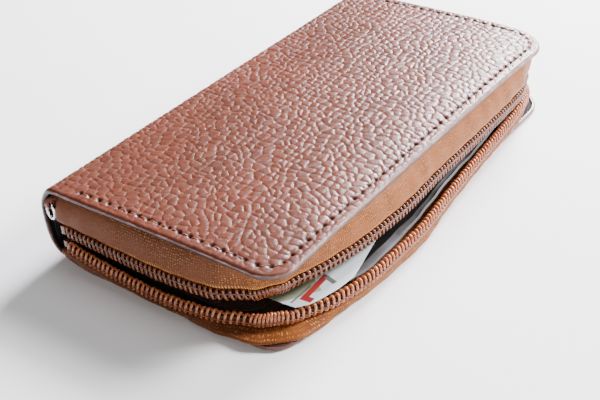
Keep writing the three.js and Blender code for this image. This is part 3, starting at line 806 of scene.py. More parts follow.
RUN = ZipRun()
COIL_WIDTH = 4.0
COIL_THICKNESS = 2.2
COIL_PITCH = 2.0
FOOT_LEAN = 0.6          # how far the foot of the lower coil leans outward
SMALL_STITCH = (2.6, 1.9, 0.13)  # pitch, length and radius of the inside stitches


def through(line: np.ndarray, count: int) -> np.ndarray:
    """Smooth open curve through points.

    Args:
        line: array of sections, points and two coordinates.
        count: points wanted on each section.

    Returns:
        The sections with count points each.
    """
    n = line.shape[1]
    t = np.linspace(0, n - 1 - 1e-9, count)
    i = t.astype(int)
    f = (t - i)[None, :, None]
    p0, p1 = line[:, np.maximum(i - 1, 0)], line[:, i]
    p2, p3 = line[:, np.minimum(i + 1, n - 1)], line[:, np.minimum(i + 2, n - 1)]
    return 0.5 * (2 * p1 + (p2 - p0) * f + (2 * p0 - 5 * p1 + 4 * p2 - p3) * f ** 2
                  + (3 * p1 - p0 - 3 * p2 + p3) * f ** 3)


@dataclass
class ZipTape:
    """One woven tape, from the seam under its cover to behind its coil."""

    side: Side
    thick: float = 0.6
    step: float = 0.9
    points_across: int = 30

    def line(self, s: np.ndarray) -> np.ndarray:
        """Centre line of the tape's sections in (outward, height)."""
        upper, lower, belly = (RUN.curve(k, s) for k in ("upper", "lower", "belly"))
        high, low, shoulder = (RUN.curve(k, s) for k in ("high", "low", "shoulder"))
        behind = COIL_THICKNESS + 0.65
        full = np.full_like(s, 1.0)
        if self.side is Side.UPPER:
            top = HEIGHT - 2.1
            swell = np.minimum(upper * 0.45 - 0.2, 0.8)
            rows = [(-6 * full, top * full), (-2.4 * full, top * full), (swell - 1.0, (top - 1.3) * full),
                    (upper * 0.8 - 0.1, (top + high + shoulder) / 2 - 0.3), (upper - 0.35, high + shoulder),
                    (upper - behind, high + shoulder - 0.9), (upper * 1.2 - behind, high - COIL_WIDTH + 1.6)]
        else:
            lift = np.minimum(shoulder, low - 2.9)
            foot = lower + FOOT_LEAN * RUN.lean(s)
            side = np.maximum(belly, foot - 1.2)
            sag = 0.9 * np.clip((belly - 1.5) / 1.5, 0, 1)
            rows = [(-6 * full, 2.05 * full), (np.minimum(0.2, belly - 1.8), 2.05 * full),
                    (belly - 0.9, 2.05 - sag),
                    (side - 0.35, 2.7 - sag), (foot - 0.3, low - lift), (foot - behind, low - lift + 0.7),
                    (lower - behind, low + COIL_WIDTH - 2.6)]
        return np.stack([np.stack(row, -1) for row in rows], 1)

    def build(self) -> bpy.types.Object:
        """Make the tape with its weave laid along it."""
        s = np.linspace(0, RUN.length, int(RUN.length / self.step))
        centre = through(self.line(s), self.points_across)
        along = np.gradient(centre, axis=1)
        along /= np.linalg.norm(along, axis=2)[..., None]
        side = np.stack([-along[..., 1], along[..., 0]], -1) * self.thick / 2
        ring = np.concatenate([centre + side, (centre - side)[:, ::-1]], 1)
        rows, columns = ring.shape[:2]
        s_all = np.repeat(s, columns)
        flat = ring.reshape(-1, 2)
        pucker = (0.12 * np.sin(s_all * 0.55 + 1.3 * np.sin(s_all * 0.11))
                  * smooth_step(0, 6, 30 - abs(flat[:, 1] - 15)))
        points = RUN.spot(s_all, flat[:, 0] + pucker, flat[:, 1])
        if self.side is Side.LOWER:
            points = curl(points, 8.0)
        faces = grid_faces(rows, columns, closed=True)
        faces.append(list(range(columns)))
        faces.append([(rows - 1) * columns + i for i in range(columns)][::-1])
        name = f"{self.side.value}_woven_tape"
        obj = add_mesh(name, points, faces, "tape")
        across = np.concatenate([[0], np.cumsum(np.linalg.norm(np.diff(centre.mean(0), axis=0), axis=1))])
        across = np.concatenate([across, across[::-1]])
        uv = np.stack([s_all, np.tile(across, rows)], -1)
        layer = obj.data.uv_layers.new(name="weave")
        corners = np.zeros(len(obj.data.loops), int)
        obj.data.loops.foreach_get("vertex_index", corners)
        layer.data.foreach_set("uv", uv[corners].astype(np.float32).reshape(-1))
        bm = bmesh.new()
        bm.from_mesh(obj.data)
        bmesh.ops.recalc_face_normals(bm, faces=bm.faces)
        bm.to_mesh(obj.data)
        bm.free()
        body = Body.FRONT if self.side is Side.UPPER else Body.BACK
        return settle(obj, body, "tape", f"{self.side.value}_zip_tape")


# One coil turn: place along the run, distance outward from the coil's face, distance from its sewn side.
TURN = np.array([
    (-0.55, -1.75, 0.9), (-0.66, -1.05, 0.1), (-0.52, -0.28, 0.15), (-0.34, 0.0, 0.95), (-0.08, 0.02, 2.3),
    (0.1, -0.08, 3.35), (0.16, -0.62, 3.95), (0.16, -1.35, 3.7), (0.32, -1.85, 2.7), (0.75, -1.95, 1.75),
])


@dataclass
class ZipCoil:
    """One row of the coil: a spiral filament over a core, sewn down by a chain of thread."""

    side: Side
    first: float
    last: float
    filament: float = 0.56
    closes_from: Optional[float] = None
    closing_shift: float = 1.25
    set_back: float = 0.65
    chain_set_back: float = 0.4
    core_radius: float = 0.62
    chain_radius: float = 0.15

    def local(self, s: np.ndarray, outward: np.ndarray, rise: np.ndarray) -> np.ndarray:
        """Points from coil coordinates: along the run, outward of its face, away from its sewn side."""
        upper = self.side is Side.UPPER
        face = RUN.curve("upper" if upper else "lower", s)
        foot_out = face if upper else face + FOOT_LEAN * RUN.lean(s)
        head_out = face * 1.2 if upper else face
        foot = RUN.curve("high", s) if upper else RUN.curve("low", s)
        share = rise / COIL_WIDTH
        out = foot_out + (head_out - foot_out) * share + outward - self.set_back * (1 - RUN.lean(s))
        shift = np.zeros_like(s)
        if self.closes_from is not None:
            shift = self.closing_shift * smooth_step(self.closes_from, self.closes_from + 5, s)
        z = foot - rise - shift if upper else foot + rise + shift
        return RUN.spot(s, out, z)

    def build(self, tag: str, *nodes: str) -> list[bpy.types.Object]:
        """Make the filament, its core and its sewing chain."""
        body = Body.FRONT if self.side is Side.UPPER and self.closes_from is None else Body.BACK
        turns = int((self.last - self.first) / COIL_PITCH)
        start = self.first + (0.5 * COIL_PITCH if self.side is Side.UPPER else 0.0)
        k = np.arange(turns)[:, None]
        wobble = 1 + 0.03 * np.sin(k * 1.7)
        s = (start + k * COIL_PITCH + TURN[None, :, 0]).reshape(-1)
        out = (TURN[None, :, 1] * wobble).reshape(-1)
        rise = (TURN[None, :, 2] * wobble).reshape(-1)
        rows = through(np.stack([s, out], -1)[None], 2 * len(s))[0]
        rises = through(np.stack([s, rise], -1)[None], 2 * len(s))[0]
        path = self.local(rows[:, 0], rows[:, 1], rises[:, 1])
        _, outward = RUN.at(rows[:, 0])
        guide = np.cross(outward, np.array([0, 0, 1.0]))
        points, faces = tube(path, self.filament, 8, guide, 0.78)
        # painted light: the lower coil takes the lightened filament copy, the upper coil the darkened one
        finish = "coil" if self.side is Side.UPPER else "lit_low_coil"
        spiral = add_mesh(f"{tag}_filament", points, faces, finish)
        settle(spiral, body, "coil", *nodes)
        s = np.linspace(start - 0.6, start + turns * COIL_PITCH, turns * 3)
        _, outward = RUN.at(s)
        up = np.tile(np.array([0, 0, 1.0]), (len(s), 1))
        # the core's dark colour is painted shade in the gaps between turns
        core_points, core_faces = tube(self.local(s, np.full_like(s, -0.95), np.full_like(s, 1.9)),
                                       self.core_radius, 8, up)
        core = add_mesh(f"{tag}_core", core_points, core_faces, "core")
        settle(core, body, "coil")
        s = np.linspace(start - 0.6, start + turns * COIL_PITCH - 0.6, turns * 6)
        phase = 2 * np.pi * (s - start) / COIL_PITCH
        parts = []
        for sign in (-1, 1):
            rise = 1.3 + sign * 0.38 * (1 + np.cos(phase)) / 2
            crest = 0.38 + 0.1 * np.cos(phase) - self.chain_set_back * (1 - RUN.lean(s))
            parts.append(tube(self.local(s, crest, rise), self.chain_radius, 5,
                              np.tile(np.array([0, 0, 1.0]), (len(s), 1))))
        chain_points, chain_faces = merge(parts)
        chain = add_mesh(f"{tag}_sewing_chain", chain_points, chain_faces, "chain")
        settle(chain, body, "coil")
        return [spiral, core, chain]


@dataclass
class Zip:
    """Both tapes, both coils, the closed end, the stops, the slider and its pull."""

    first_y: float = 40.0
    last_y: float = 32.6
    closed_first_y: float = 33.8
    closed_last_y: float = 45.2
    closed_filament: float = 0.42

    def build(self) -> None:
        """Make every zip piece."""
        first, last = RUN.on_near(self.first_y), RUN.on_far(self.last_y)
        for side in Side:
            ZipTape(side).build()
            ZipCoil(side, first + 0.6, last - 0.4).build(f"{side.value}_coil", f"{side.value}_zip_coil")
            refine(f"{side.value}_top_stop", "coil", Body.FRONT if side is Side.UPPER else Body.BACK, "coil")
        begin, end = RUN.on_far(self.closed_first_y), RUN.on_far(self.closed_last_y)
        ZipCoil(Side.LOWER, begin, end, self.closed_filament, begin).build(
            "closed_end_lower", "closed_chain_end")
        ZipCoil(Side.UPPER, begin, end, self.closed_filament, begin).build("closed_end_upper")
        refine("bottom_stop", "metal", Body.BACK, "metal")
        refine("zip_slider_body", "metal", Body.SLIDER, "metal", 0.25, 3)
        refine("zip_slider_bridge", "metal", Body.SLIDER, "metal", 0.3, 3)
        refine("zip_pull_frame", "metal", Body.PULL, "metal", 0.3, 3)
        refine("zip_pull_tab", "tab", Body.PULL, "leather", 0.45, 3)
        low, high = in_mm("zip_pull_tab")
        x = high[0] + 0.1
        middle = (low[2] + high[2]) / 2
        corners = [(low[1] + 2.5, middle + 2.9), (high[1] - 2.6, middle + 2.9), (high[1] - 2.6, middle - 2.9),
                   (low[1] + 2.5, middle - 2.9), (low[1] + 2.5, middle + 2.9)]
        path = np.array([(x, y, z) for y, z in corners])
        up = np.tile(np.array([1.0, 0, 0]), (len(path), 1))
        settle(stitches("pull_tab_stitches", path, up, 2.2, 1.7, 0.16, "thread"), Body.PULL, "leather")


# ---- leather covers --------------------------------------------------------------
def pebbles(x: np.ndarray, y: np.ndarray, size: float, seed: int) -> tuple[np.ndarray, np.ndarray]:
    """Cell pattern of leather grain.

    Args:
        x: first coordinate of each point, in millimetres.
        y: second coordinate.
        size: mean cell size.
        seed: seed of the pattern.

    Returns:
        Distance from the nearest crease, and a random value per cell.
    """
    table = np.random.RandomState(seed).rand(128, 128, 3)
    gx, gy = x / size, y / size
    ix, iy = np.floor(gx).astype(int), np.floor(gy).astype(int)
    near = np.full(x.shape, 1e9)
    second = np.full(x.shape, 1e9)
    tone = np.zeros(x.shape)
    for dx in (-1, 0, 1):
        for dy in (-1, 0, 1):
            cell = table[(ix + dx) % 128, (iy + dy) % 128]
            stagger = 0.5 * ((iy + dy) % 2)
            px = ix + dx + stagger * 0.6 + 0.15 + 0.8 * cell[..., 0]
            py = iy + dy + 0.1 + 0.8 * cell[..., 1]
            d = np.hypot(gx - px, (gy - py) * 1.05)
            closer = d < near
            second = np.where(closer, near, np.minimum(second, d))
            tone = np.where(closer, cell[..., 2], tone)
            near = np.where(closer, d, near)
    return (second - near) * size, tone


def curl(points: np.ndarray, top: float) -> np.ndarray:
    """Bend the near end of the spine: its foot curls up off the table and its shoulder flares out.

    Args:
        points: points in millimetres.
        top: height at which the upward curl has died away.

    Returns:
        The bent points.
    """
    out = points.copy()
    x, y, z = points.T
    near = np.exp(-(np.clip(x + HALF_LENGTH, 0, None) / 5.5) ** 2)
    out[:, 2] += 3.5 * near * smooth_step(34, 47, y) * np.clip(1 - z / top, 0, 1)
    out[:, 1] += 0.9 * near * smooth_step(46, 50, y) * np.exp(-((z - 24) / 6) ** 2)
    return out


# Material slots of a cover, in the order they are filled.
GRAIN_SLOT, EDGE_SLOT, LINING_SLOT, RIM_HIGHLIGHT_SLOT, TURNED_SLOT = range(5)


@dataclass
class LeatherCover:
    """One half of the outer leather: a cover and its half of the spine."""

    side: Side
    pitch: float = 0.44
    stitch_pitch: float = 4.4
    stitch_inset: float = 4.0
    pebble_size: float = 3.3
    wrinkle_size: float = 1.5
    groove_depth: float = 0.16
    dome_height: float = 0.11
    crown_height: float = 1.0

    def profile(self, w: np.ndarray) -> tuple[np.ndarray, np.ndarray]:
        """Place and outward direction in the Y-Z plane at a distance from the front edge."""
        angle = np.linspace(math.pi / 2, 0, 200)
        mid = HEIGHT / 2
        y = FOLD_Y + SPINE_DEPTH * np.cos(angle)
        z = mid + mid * np.sin(angle)
        arc = np.concatenate([[0], np.cumsum(np.hypot(np.diff(y), np.diff(z)))]) + FOLD_Y - FRONT_Y
        self.reach = float(arc[-1])
        a = np.interp(w, arc, angle)
        flat = w <= arc[0]
        place = np.stack([np.where(flat, FRONT_Y + w, FOLD_Y + SPINE_DEPTH * np.cos(a)),
                          np.where(flat, HEIGHT, mid + mid * np.sin(a))], -1)
        out = np.stack([mid * np.cos(a), SPINE_DEPTH * np.sin(a)], -1)
        out /= np.linalg.norm(out, axis=-1)[..., None]
        return place, np.where(flat[..., None], np.array([0.0, 1.0]), out)

    def half_width(self, w: np.ndarray, corner: float) -> np.ndarray:
        """Reach of the cover from its middle to one end, at a distance from the front edge."""
        drop = np.clip(corner - w, 0, corner)
        return HALF_LENGTH - corner + np.sqrt(np.clip(corner * corner - drop * drop, 0, None))

    def spread(self, w: np.ndarray, across: np.ndarray, inset: float = 0.0) -> np.ndarray:
        """X of each point of a grid that fills the cover from end to end."""
        near = self.half_width(w, NEAR_CORNER)[:, None] - inset
        far = self.half_width(w, FAR_CORNER)[:, None] - inset
        return -near + (near + far) * (across[None, :] + 1) / 2

    def relief(self, x: np.ndarray, w: np.ndarray) -> dict[str, np.ndarray]:
        """Height of the surface and the values that colour it.

        Args:
            x: place along the cover.
            w: distance from its front edge, measured over the spine.

        Returns:
            Height, distance to the nearest crease, tone and stitch hole depth.
        """
        far = x > 0
        r = np.where(far, FAR_CORNER, NEAR_CORNER)
        qx, qy = np.abs(x) - (HALF_LENGTH - r), r - w
        corner = (qx > 0) & (qy > 0)
        edge = np.where(corner, r - np.hypot(qx, qy), np.minimum(HALF_LENGTH - np.abs(x), w))
        turned = np.arctan2(np.clip(qy, 0, None), np.clip(qx, 1e-6, None))
        beside = HALF_LENGTH - np.abs(x) < w
        first, last = NEAR_CORNER - self.stitch_inset, FAR_CORNER - self.stitch_inset
        front = first * math.pi / 2
        turn = front + 2 * HALF_LENGTH - NEAR_CORNER - FAR_CORNER
        along = np.where(corner, np.where(far, turn + last * (math.pi / 2 - turned), first * turned),
                         np.where(beside, np.where(far, turn + last * math.pi / 2 + w - r, r - w),
                                  front + x + HALF_LENGTH - NEAR_CORNER))
        off = (along / self.stitch_pitch - np.round(along / self.stitch_pitch)) * self.stitch_pitch
        line = np.exp(-((edge - self.stitch_inset) / 0.85) ** 2)
        sewn = w < NEAR_CORNER + 17.2 * self.stitch_pitch
        pit = np.exp(-(off / 0.66) ** 2 - ((edge - self.stitch_inset) / 0.55) ** 2) * sewn
        sign = 1 if self.side is Side.UPPER else -1
        q = (self.reach - w) * sign
        bend = 0.55 * np.sin(q * 0.31 + x * 0.13) + 0.4 * np.sin(x * 0.23 - q * 0.17)
        gap, tone = pebbles(x + bend, q + 0.7 * bend, self.pebble_size, 11)
        small, _ = pebbles(x + 3, q - bend, self.wrinkle_size, 5)
        body = smooth_step(0.4, 3.4, edge)
        grain = smooth_step(0, 1.1, gap)
        dome = 1 - (1 - np.clip(gap / 2.3, 0, 1)) ** 2
        wrinkle = smooth_step(0, 0.8, small)
        height = (self.groove_depth * (grain - 1) + self.dome_height * dome) * (0.35 + 0.65 * body)
        height += 0.03 * (wrinkle - 1)
        height += -0.14 * line - 0.95 * pit - 0.5 * np.clip(1 - edge / 1.1, 0, 1) ** 2
        return {"height": height, "gap": np.clip(gap + 0.5 * (1 - body), 0, 3),
                "tone": np.clip(0.1 + 0.9 * tone, 0, 1), "pit": np.clip(pit * 1.6, 0, 1)}

    def drape(self, x: np.ndarray, w: np.ndarray) -> np.ndarray:
        """How far the soft cover stands off its flat: a slight crown, and a droop at the front corners."""
        if self.side is Side.LOWER:
            return np.zeros_like(x)
        length = 1 - (x / HALF_LENGTH) ** 4
        depth = (1 - np.clip(1 - w / 26.0, 0, 1) ** 2) * (1 - smooth_step(62, 94, w))
        crown = self.crown_height * np.clip(length, 0, 1) * np.clip(depth, 0, 1)
        near = 0.9 * np.exp(-((x + HALF_LENGTH) ** 2 + w ** 2) / 30.0 ** 2)
        far = 1.6 * np.exp(-((x - HALF_LENGTH) ** 2 + w ** 2) / 22.0 ** 2)
        front = 0.45 * np.exp(-(w / 9.0) ** 2)
        return crown - near - far - front + 0.12 * np.sin(x * 0.06 + 1) * np.exp(-(w / 22) ** 2)

    def build(self) -> bpy.types.Object:
        """Make the leather with its painted edge and its inside face."""
        self.profile(np.array([0.0]))
        bend = FAR_CORNER * (1 - np.cos(np.linspace(0, math.pi / 2, 42)))
        w = np.concatenate([bend, np.arange(FAR_CORNER + self.pitch, self.reach, self.pitch), [self.reach]])
        across = np.linspace(-1, 1, int(2 * HALF_LENGTH / self.pitch))
        x = self.spread(w, across)
        ww = np.repeat(w[:, None], len(across), 1)
        place, out = self.profile(ww)
        relief = self.relief(x, ww)
        top = relief["height"] + self.drape(x, ww) * (out[..., 1] > 0.999)
        outer = np.stack([x, place[..., 0] + out[..., 0] * top, place[..., 1] + out[..., 1] * top], -1)
        rows, columns = x.shape
        upper = self.side is Side.UPPER
        faces = grid_faces(rows, columns)
        # painted edge: round the near side, the front and the far side
        rim = [(i, 0) for i in range(rows - 1, 0, -1)] + [(0, j) for j in range(columns)]
        rim += [(i, columns - 1) for i in range(1, rows)]
        rim_index = np.array([i * columns + j for i, j in rim])
        ring = outer.reshape(-1, 3)[rim_index]
        ri = np.array([i for i, _ in rim])
        rj = np.array([j for _, j in rim])
        normal3 = np.stack([np.zeros(len(rim)), out[ri, rj, 0], out[ri, rj, 1]], -1)
        lateral = np.gradient(ring, axis=0)
        away = np.cross(lateral, normal3)
        away /= np.linalg.norm(away, axis=1)[:, None]
        centre = np.array([0, 0, HEIGHT / 2])
        flip = np.sign(((ring - centre) * away).sum(1))[:, None]
        away *= flip
        loops = [ring]
        for depth, bulge in ((0.45, 0.22), (1.0, 0.24), (1.45, 0.0), (1.55, -0.9)):
            loops.append(ring - normal3 * depth + away * bulge)
        base = rows * columns
        points = [outer.reshape(-1, 3)] + loops[1:]
        count = len(rim)
        edge_faces = []
        previous = rim_index
        for k in range(len(loops) - 1):
            current = base + k * count + np.arange(count)
            quads = np.stack([previous[:-1], current[:-1], current[1:], previous[1:]], -1)
            edge_faces.extend(quads.tolist())
            previous = current
        # inside face on a coarser grid
        w2 = FAR_CORNER * (1 - np.cos(np.linspace(0.35, math.pi / 2, 9)))
        w2 = np.concatenate([w2, np.linspace(19, self.reach, 40)])
        x2 = self.spread(w2, np.linspace(-1, 1, 40), 0.5)
        place2, out2 = self.profile(np.repeat(w2[:, None], 40, 1))
        depth = LEATHER_THICK + 0.1 - self.drape(x2, np.repeat(w2[:, None], 40, 1)) * (out2[..., 1] > 0.999)
        inside = np.stack([x2, place2[..., 0] - out2[..., 0] * depth,
                           place2[..., 1] - out2[..., 1] * depth], -1)
        start = base + (len(loops) - 1) * count
        inside_faces = grid_faces(len(w2), 40, start, flip=True)
        points = np.concatenate(points + [inside.reshape(-1, 3)])
        if not upper:
            points[:, 2] = np.maximum(HEIGHT - points[:, 2], 0.02)
            faces = [f[::-1] for f in faces]
            edge_faces = [f[::-1] for f in edge_faces]
            inside_faces = [f[::-1] for f in inside_faces]
        points = curl(points, 13.0)
        marks = {}
        for key, fill in (("gap", 2.0), ("tone", 0.5), ("pit", 0.0)):
            values = relief[key].reshape(-1)
            marks[key] = np.concatenate([values, np.full(len(points) - base, fill)])
        name = "front_leather" if upper else "back_leather"
        obj = add_mesh(name, points, faces + edge_faces + inside_faces, "grain", True, marks)
        for key in ("edge", "lining", "rim", "turned"):
            obj.data.materials.append(FINISHES[key])
        index = np.full(len(obj.data.polygons), GRAIN_SLOT, np.int32)
        index[len(faces):len(faces) + len(edge_faces)] = EDGE_SLOT
        # painted highlight: the top band of the edge takes the pale rim finish
        index[len(faces):len(faces) + count - 1] = RIM_HIGHLIGHT_SLOT
        if not upper:
            index[len(faces):len(faces) + 3 * (count - 1)] = TURNED_SLOT
        index[len(faces) + len(edge_faces):] = LINING_SLOT
        obj.data.polygons.foreach_set("material_index", index)
        if upper:
            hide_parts("front_cover_leather", "spine_leather")
            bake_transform(obj)
        else:
            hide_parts("back_cover_leather")
            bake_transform(obj)
        LOG.info("piece %s: %d points", name, len(points))
        self.sew()
        return obj

    def sew(self) -> None:
        """Lay the stitches between the holes along the cover's three edges."""
        inset = self.stitch_inset
        back = FRONT_Y + NEAR_CORNER + 17 * self.stitch_pitch
        line = [(-HALF_LENGTH + inset, back)]
        for sign, r, angles in ((-1, NEAR_CORNER, np.linspace(0, math.pi / 2, 12)),
                                (1, FAR_CORNER, np.linspace(math.pi / 2, 0, 16))):
            x0, y0, inner = HALF_LENGTH - r, FRONT_Y + r, r - inset
            line += [(sign * (x0 + inner * math.cos(a)), y0 - inner * math.sin(a)) for a in angles]
        line.append((HALF_LENGTH - inset, back))
        fine = []
        for a, b in zip(line[:-1], line[1:]):
            steps = max(int(math.dist(a, b) / 2), 1)
            fine += [(a[0] + (b[0] - a[0]) * i / steps, a[1] + (b[1] - a[1]) * i / steps)
                     for i in range(steps)]
        fine.append(line[-1])
        xy = np.array(fine)
        upper = self.side is Side.UPPER
        z = HEIGHT - 0.16 + self.drape(xy[:, 0], xy[:, 1] - FRONT_Y) if upper else np.full(len(xy), 0.3)
        up = np.tile(np.array([0, 0, 1.0 if upper else -1.0]), (len(xy), 1))
        path = np.column_stack([xy, z])
        name = "front_cover_stitches" if upper else "back_cover_stitches"
        row = stitches(name, path, up, self.stitch_pitch, self.stitch_pitch * 0.62, 0.26, "thread")
        settle(row, Body.FRONT if upper else Body.BACK, "leather")


# ---- inside --------------------------------------------------------------------
@dataclass
class Inside:
    """Boards, linings, card slots, the satin leaf and the coin pocket."""

    slot_edge: float = 1.2
    tuck: float = 0.9

    def slots(self, side: str, body: Body) -> None:
        """The card panel and the six card slots of one half, each with a sewn mouth."""
        refine(f"{side}_card_panel", "panel", body, "panel", 0.12)
        up = np.array([0, 0, 1.0 if side == "back" else -1.0])
        for column in ("near", "far"):
            for k in (1, 2, 3):
                node = f"{side}_{column}_card_slot_{k}"
                refine(node, "panel", body, "panel", 0.18)
                low, high = in_mm(node)
                z = high[2] if side == "back" else low[2]
                inset = 12 if k == 1 else 3
                path = np.array([(low[0] + inset, low[1] + self.slot_edge, z),
                                 (high[0] - inset, low[1] + self.slot_edge, z)])
                row = stitches(f"{node}_stitches", path + up * 0.02, np.tile(up, (2, 1)), *SMALL_STITCH,
                               "dark_thread")
                settle(row, body, "panel")

    def coin_pocket(self) -> None:
        """The pocket's walls, gussets, tapes, coil, slider and pull."""
        for node in ("coin_pocket_lower_wall", "coin_pocket_upper_wall", "coin_pocket_near_gusset",
                     "coin_pocket_far_gusset", "coin_pocket_base_strip"):
            refine(node, "lining", Body.SPINE, "lining", 0.2)
        for node in ("coin_zip_lower_tape", "coin_zip_upper_tape"):
            refine(node, "satin", Body.SPINE, "tape", 0.12)
        low, high = in_mm("coin_zip_coil")
        middle = (low[1:] + high[1:]) / 2
        parts = []
        for sign in (-1, 1):
            x = np.linspace(low[0] + 0.5, high[0] - 0.5, 2400)
            turn = 2 * np.pi * x / 1.5 + (0 if sign > 0 else np.pi)
            y = middle[0] + sign * 0.35 + 0.62 * np.cos(turn)
            z = middle[1] + 0.85 * np.sin(turn)
            guide = np.tile(np.array([1.0, 0, 0]), (len(x), 1))
            parts.append(tube(np.column_stack([x, y, z]), 0.24, 5, guide))
        points, faces = merge(parts)
        settle(add_mesh("coin_coil_filament", points, faces, "coil"), Body.SPINE, "coil", "coin_zip_coil")
        refine("coin_slider_body", "metal", Body.COIN_SLIDER, "metal", 0.14, 2)
        refine("coin_slider_pull", "metal", Body.COIN_PULL, "metal", 0.2, 3)
        low, high = in_mm("coin_pocket_upper_wall")
        for tag, z, up in (("upper", high[2], 1.0), ("lower", in_mm("coin_pocket_lower_wall")[0][2], -1.0)):
            path = np.array([(low[0] + 3, low[1] + 1.4, z), (high[0] - 3, low[1] + 1.4, z)])
            row = stitches(f"coin_pocket_{tag}_stitches", path, np.tile(np.array([0, 0, up]), (2, 1)),
                           *SMALL_STITCH, "dark_thread")
            settle(row, Body.SPINE, "lining")

    def leaf(self) -> None:
        """The grey satin leaf with a soft front lip."""
        def from_edge(points: np.ndarray) -> np.ndarray:
            """Distance of points behind the leaf's front edge."""
            front = FRONT_Y - np.minimum(RUN.curve("lower", RUN.on_long(points[:, 0])) - 3.6, 3.9)
            return points[:, 1] - front

        def ripple(points: np.ndarray) -> np.ndarray:
            """Let the leaf wave gently, most of all along its lip, and tuck the lip behind the coil."""
            out = points.copy()
            share = smooth_step(-30, -50, points[:, 1])
            behind = from_edge(points)
            out[:, 1] -= self.tuck * smooth_step(3.5, 0, behind)
            out[:, 2] -= 0.5 * smooth_step(2.0, 0, behind)
            out[:, 2] += share * (0.35 * np.sin(points[:, 0] * 0.16) + 0.2 * np.sin(points[:, 0] * 0.41 + 1))
            return out
        leaf = refine("bill_divider", "satin", Body.BACK, "satin", 0.12, 2, ripple, 3.0)
        co = np.zeros(len(leaf.data.vertices) * 3)
        leaf.data.vertices.foreach_get("co", co)
        co = co.reshape(-1, 3) / MM
        layer = leaf.data.attributes.new("from_edge", "FLOAT", "POINT")
        layer.data.foreach_set("value", (from_edge(co) + self.tuck).astype(np.float32))

    def build(self) -> None:
        """Make everything inside the wallet."""
        for side, body in (("back", Body.BACK), ("front", Body.FRONT)):
            refine(f"{side}_board", "board", body, "board", 0.15)
            refine(f"{side}_lining", "lining", body, "lining", 0.12)
            self.slots(side, body)
        refine("spine_reinforcement", "board", Body.SPINE, "board", 0.1)
        refine("spine_lining", "lining", Body.SPINE, "lining", 0.1)
        self.coin_pocket()
        self.leaf()


@dataclass
class StrapRing:
    """The polished ring at the near end of the spine, in its leather tab."""

    wire: float = 0.5
    band: float = 0.65
    steps: int = 48
    sides: int = 14

    def build(self) -> None:
        """Make the ring and its tab."""
        low, high = in_mm("strap_ring")
        turn = np.linspace(0, 2 * np.pi, self.steps + 1)[:-1]
        centre = (low + high) / 2
        ry, rz = (high[1] - low[1]) / 2 - self.band, (high[2] - low[2]) / 2 - self.band
        path = np.column_stack([np.full(self.steps, centre[0]), centre[1] + ry * np.cos(turn),
                                centre[2] + rz * np.sin(turn)])
        along = np.roll(path, -1, 0) - np.roll(path, 1, 0)
        along /= np.linalg.norm(along, axis=1)[:, None]
        side = np.tile(np.array([1.0, 0, 0]), (self.steps, 1))
        other = np.cross(along, side)
        ring = np.linspace(0, 2 * np.pi, self.sides, endpoint=False)
        points = path[:, None] + (side[:, None] * np.cos(ring)[None, :, None] * self.wire
                                   + other[:, None] * np.sin(ring)[None, :, None] * self.band)
        quads = []
        for i in range(self.steps):
            here, ahead = i * self.sides, (i + 1) % self.steps * self.sides
            for j in range(self.sides):
                m = (j + 1) % self.sides
                quads.append([here + j, ahead + j, ahead + m, here + m])
        settle(add_mesh("polished_strap_ring", points.reshape(-1, 3), quads, "metal"),
               Body.RING, "metal", "strap_ring")
        refine("strap_ring_tab", "tab", Body.SPINE, "leather", 0.3, 3)


@dataclass
class PaperSlip:
    """A loose printed slip that rests over the lower coil at the near corner."""

    thick: float = 0.16
    rows: int = 60
    columns: int = 46

    def build(self) -> None:
        """Make the slightly curled slip."""
        low, high = in_mm("paper_slip")
        n, m = self.rows, self.columns
        x = np.linspace(low[0], high[0], n)
        front = np.interp(x, [-84.5, -81, -77.7, -70, -62, -54, -45, -33],
                          [-46, -49, -50.4, -52.6, -53.6, -51.8, -49.6, -47])
        v = np.linspace(0, 1, m)
        gx = np.repeat(x[:, None], m, 1)
        gy = front[:, None] + (high[1] - front[:, None]) * v[None, :]
        z = (low[2] + 0.12 + 0.25 * np.sin(gx * 0.09 + 0.8)
             + 0.5 * np.exp(-(v[None, :] / 0.12) ** 2) + 0.15 * np.sin(gy * 0.2))
        z = np.maximum(z, low[2])
        top = np.stack([gx, gy, z + self.thick], -1).reshape(-1, 3)
        bottom = np.stack([gx, gy, z], -1).reshape(-1, 3)
        count = len(top)
        faces = grid_faces(n, m, flip=True) + grid_faces(n, m, count)
        ring = [i * m for i in range(n)] + [(n - 1) * m + j for j in range(1, m)]
        ring += [i * m + m - 1 for i in range(n - 2, -1, -1)] + list(range(m - 2, 0, -1))
        for a, b in zip(ring, ring[1:] + ring[:1]):
            faces.append([a, b, b + count, a + count])
        obj = add_mesh("printed_paper_slip", np.concatenate([top, bottom]), faces, "paper")
        obj.data.set_sharp_from_angle(angle=math.radians(50))
        settle(obj, Body.PAPER, "paper", "paper_slip")


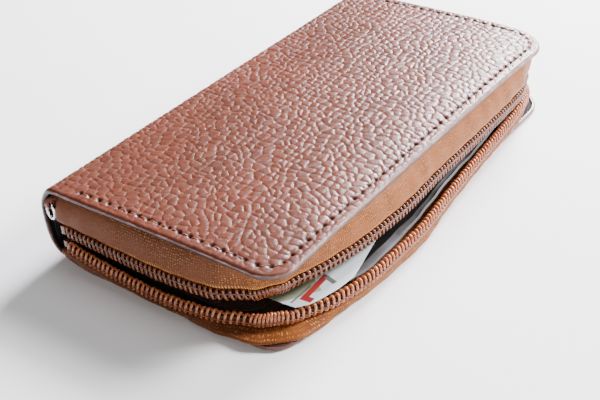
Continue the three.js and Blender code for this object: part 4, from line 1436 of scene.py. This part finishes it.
# ---- stage -----------------------------------------------------------------------
@dataclass
class Stage:
    """Floor, lights and camera."""

    distance: float = 0.40497
    azimuth: float = -52.8
    elevation: float = 33.56
    roll: float = -3.51
    target: tuple[float, float, float] = (-0.02122, -0.00242, 0.0)
    lens: float = 63.76

    def floor(self) -> None:
        """Lay the pale floor."""
        size = 4000.0
        z = -0.05
        points = np.array([(-size, -size, z), (size, -size, z), (size, size, z), (-size, size, z)])
        add_mesh("floor", points, [[0, 1, 2, 3]], "floor", False)

    def lamp(self, name: str, place: tuple[float, float, float], size: float, power: float,
             colour: tuple[float, float, float] = (1, 1, 1)) -> None:
        """Hang one square soft light that faces the wallet."""
        light = bpy.data.lights.new(name, "AREA")
        light.size = size
        light.energy = power
        light.color = colour
        obj = bpy.data.objects.new(name, light)
        obj.location = place
        obj.rotation_euler = (Vector((0, 0, 0.015)) - Vector(place)).to_track_quat("-Z", "Y").to_euler()
        bpy.context.scene.collection.objects.link(obj)

    def camera(self) -> None:
        """Set the camera."""
        a, e, r = (math.radians(v) for v in (self.azimuth, self.elevation, self.roll))
        back = Vector((math.sin(a) * math.cos(e), -math.cos(a) * math.cos(e), math.sin(e)))
        right = Vector((0, 0, 1)).cross(back).normalized()
        up = back.cross(right)
        side = right * math.cos(r) + up * math.sin(r)
        top = up * math.cos(r) - right * math.sin(r)
        turn = Matrix((side, top, back)).transposed().to_4x4()
        data = bpy.data.cameras.new("camera")
        data.lens = self.lens
        data.sensor_width = 36.0
        data.clip_start = 0.01
        obj = bpy.data.objects.new("camera", data)
        obj.matrix_world = Matrix.Translation(Vector(self.target) + back * self.distance) @ turn
        bpy.context.scene.collection.objects.link(obj)
        bpy.context.scene.camera = obj

    def build(self) -> None:
        """Set the floor, the lights and the camera."""
        self.floor()
        self.lamp("window_back_right", (1.15, 0.10, 0.64), 0.55, 96.0, (0.98, 0.93, 1.0))
        self.lamp("softbox_right", (0.90, -0.80, 0.78), 0.45, 66.0, (1.0, 0.985, 0.96))
        self.lamp("overhead", (0.25, 0.15, 1.3), 0.8, 6.0)
        self.lamp("card_near_left", (-0.75, -0.35, 0.55), 0.24, 2.4, (1.0, 0.95, 0.9))
        world = bpy.data.worlds.new("studio")
        world.use_nodes = True
        world.node_tree.nodes["Background"].inputs[0].default_value = (0.95, 0.97, 1.0, 1.0)
        world.node_tree.nodes["Background"].inputs[1].default_value = 0.1
        bpy.context.scene.world = world
        self.camera()


def main() -> None:
    """Build the wallet piece by piece."""
    logging.basicConfig(level=logging.INFO, format="%(name)s: %(message)s")
    mix_finishes()
    Stage().build()
    for side in Side:
        LeatherCover(side).build()
    Zip().build()
    Inside().build()
    StrapRing().build()
    PaperSlip().build()
    bpy.context.view_layer.update()


if __name__ == "__main__":
    main()
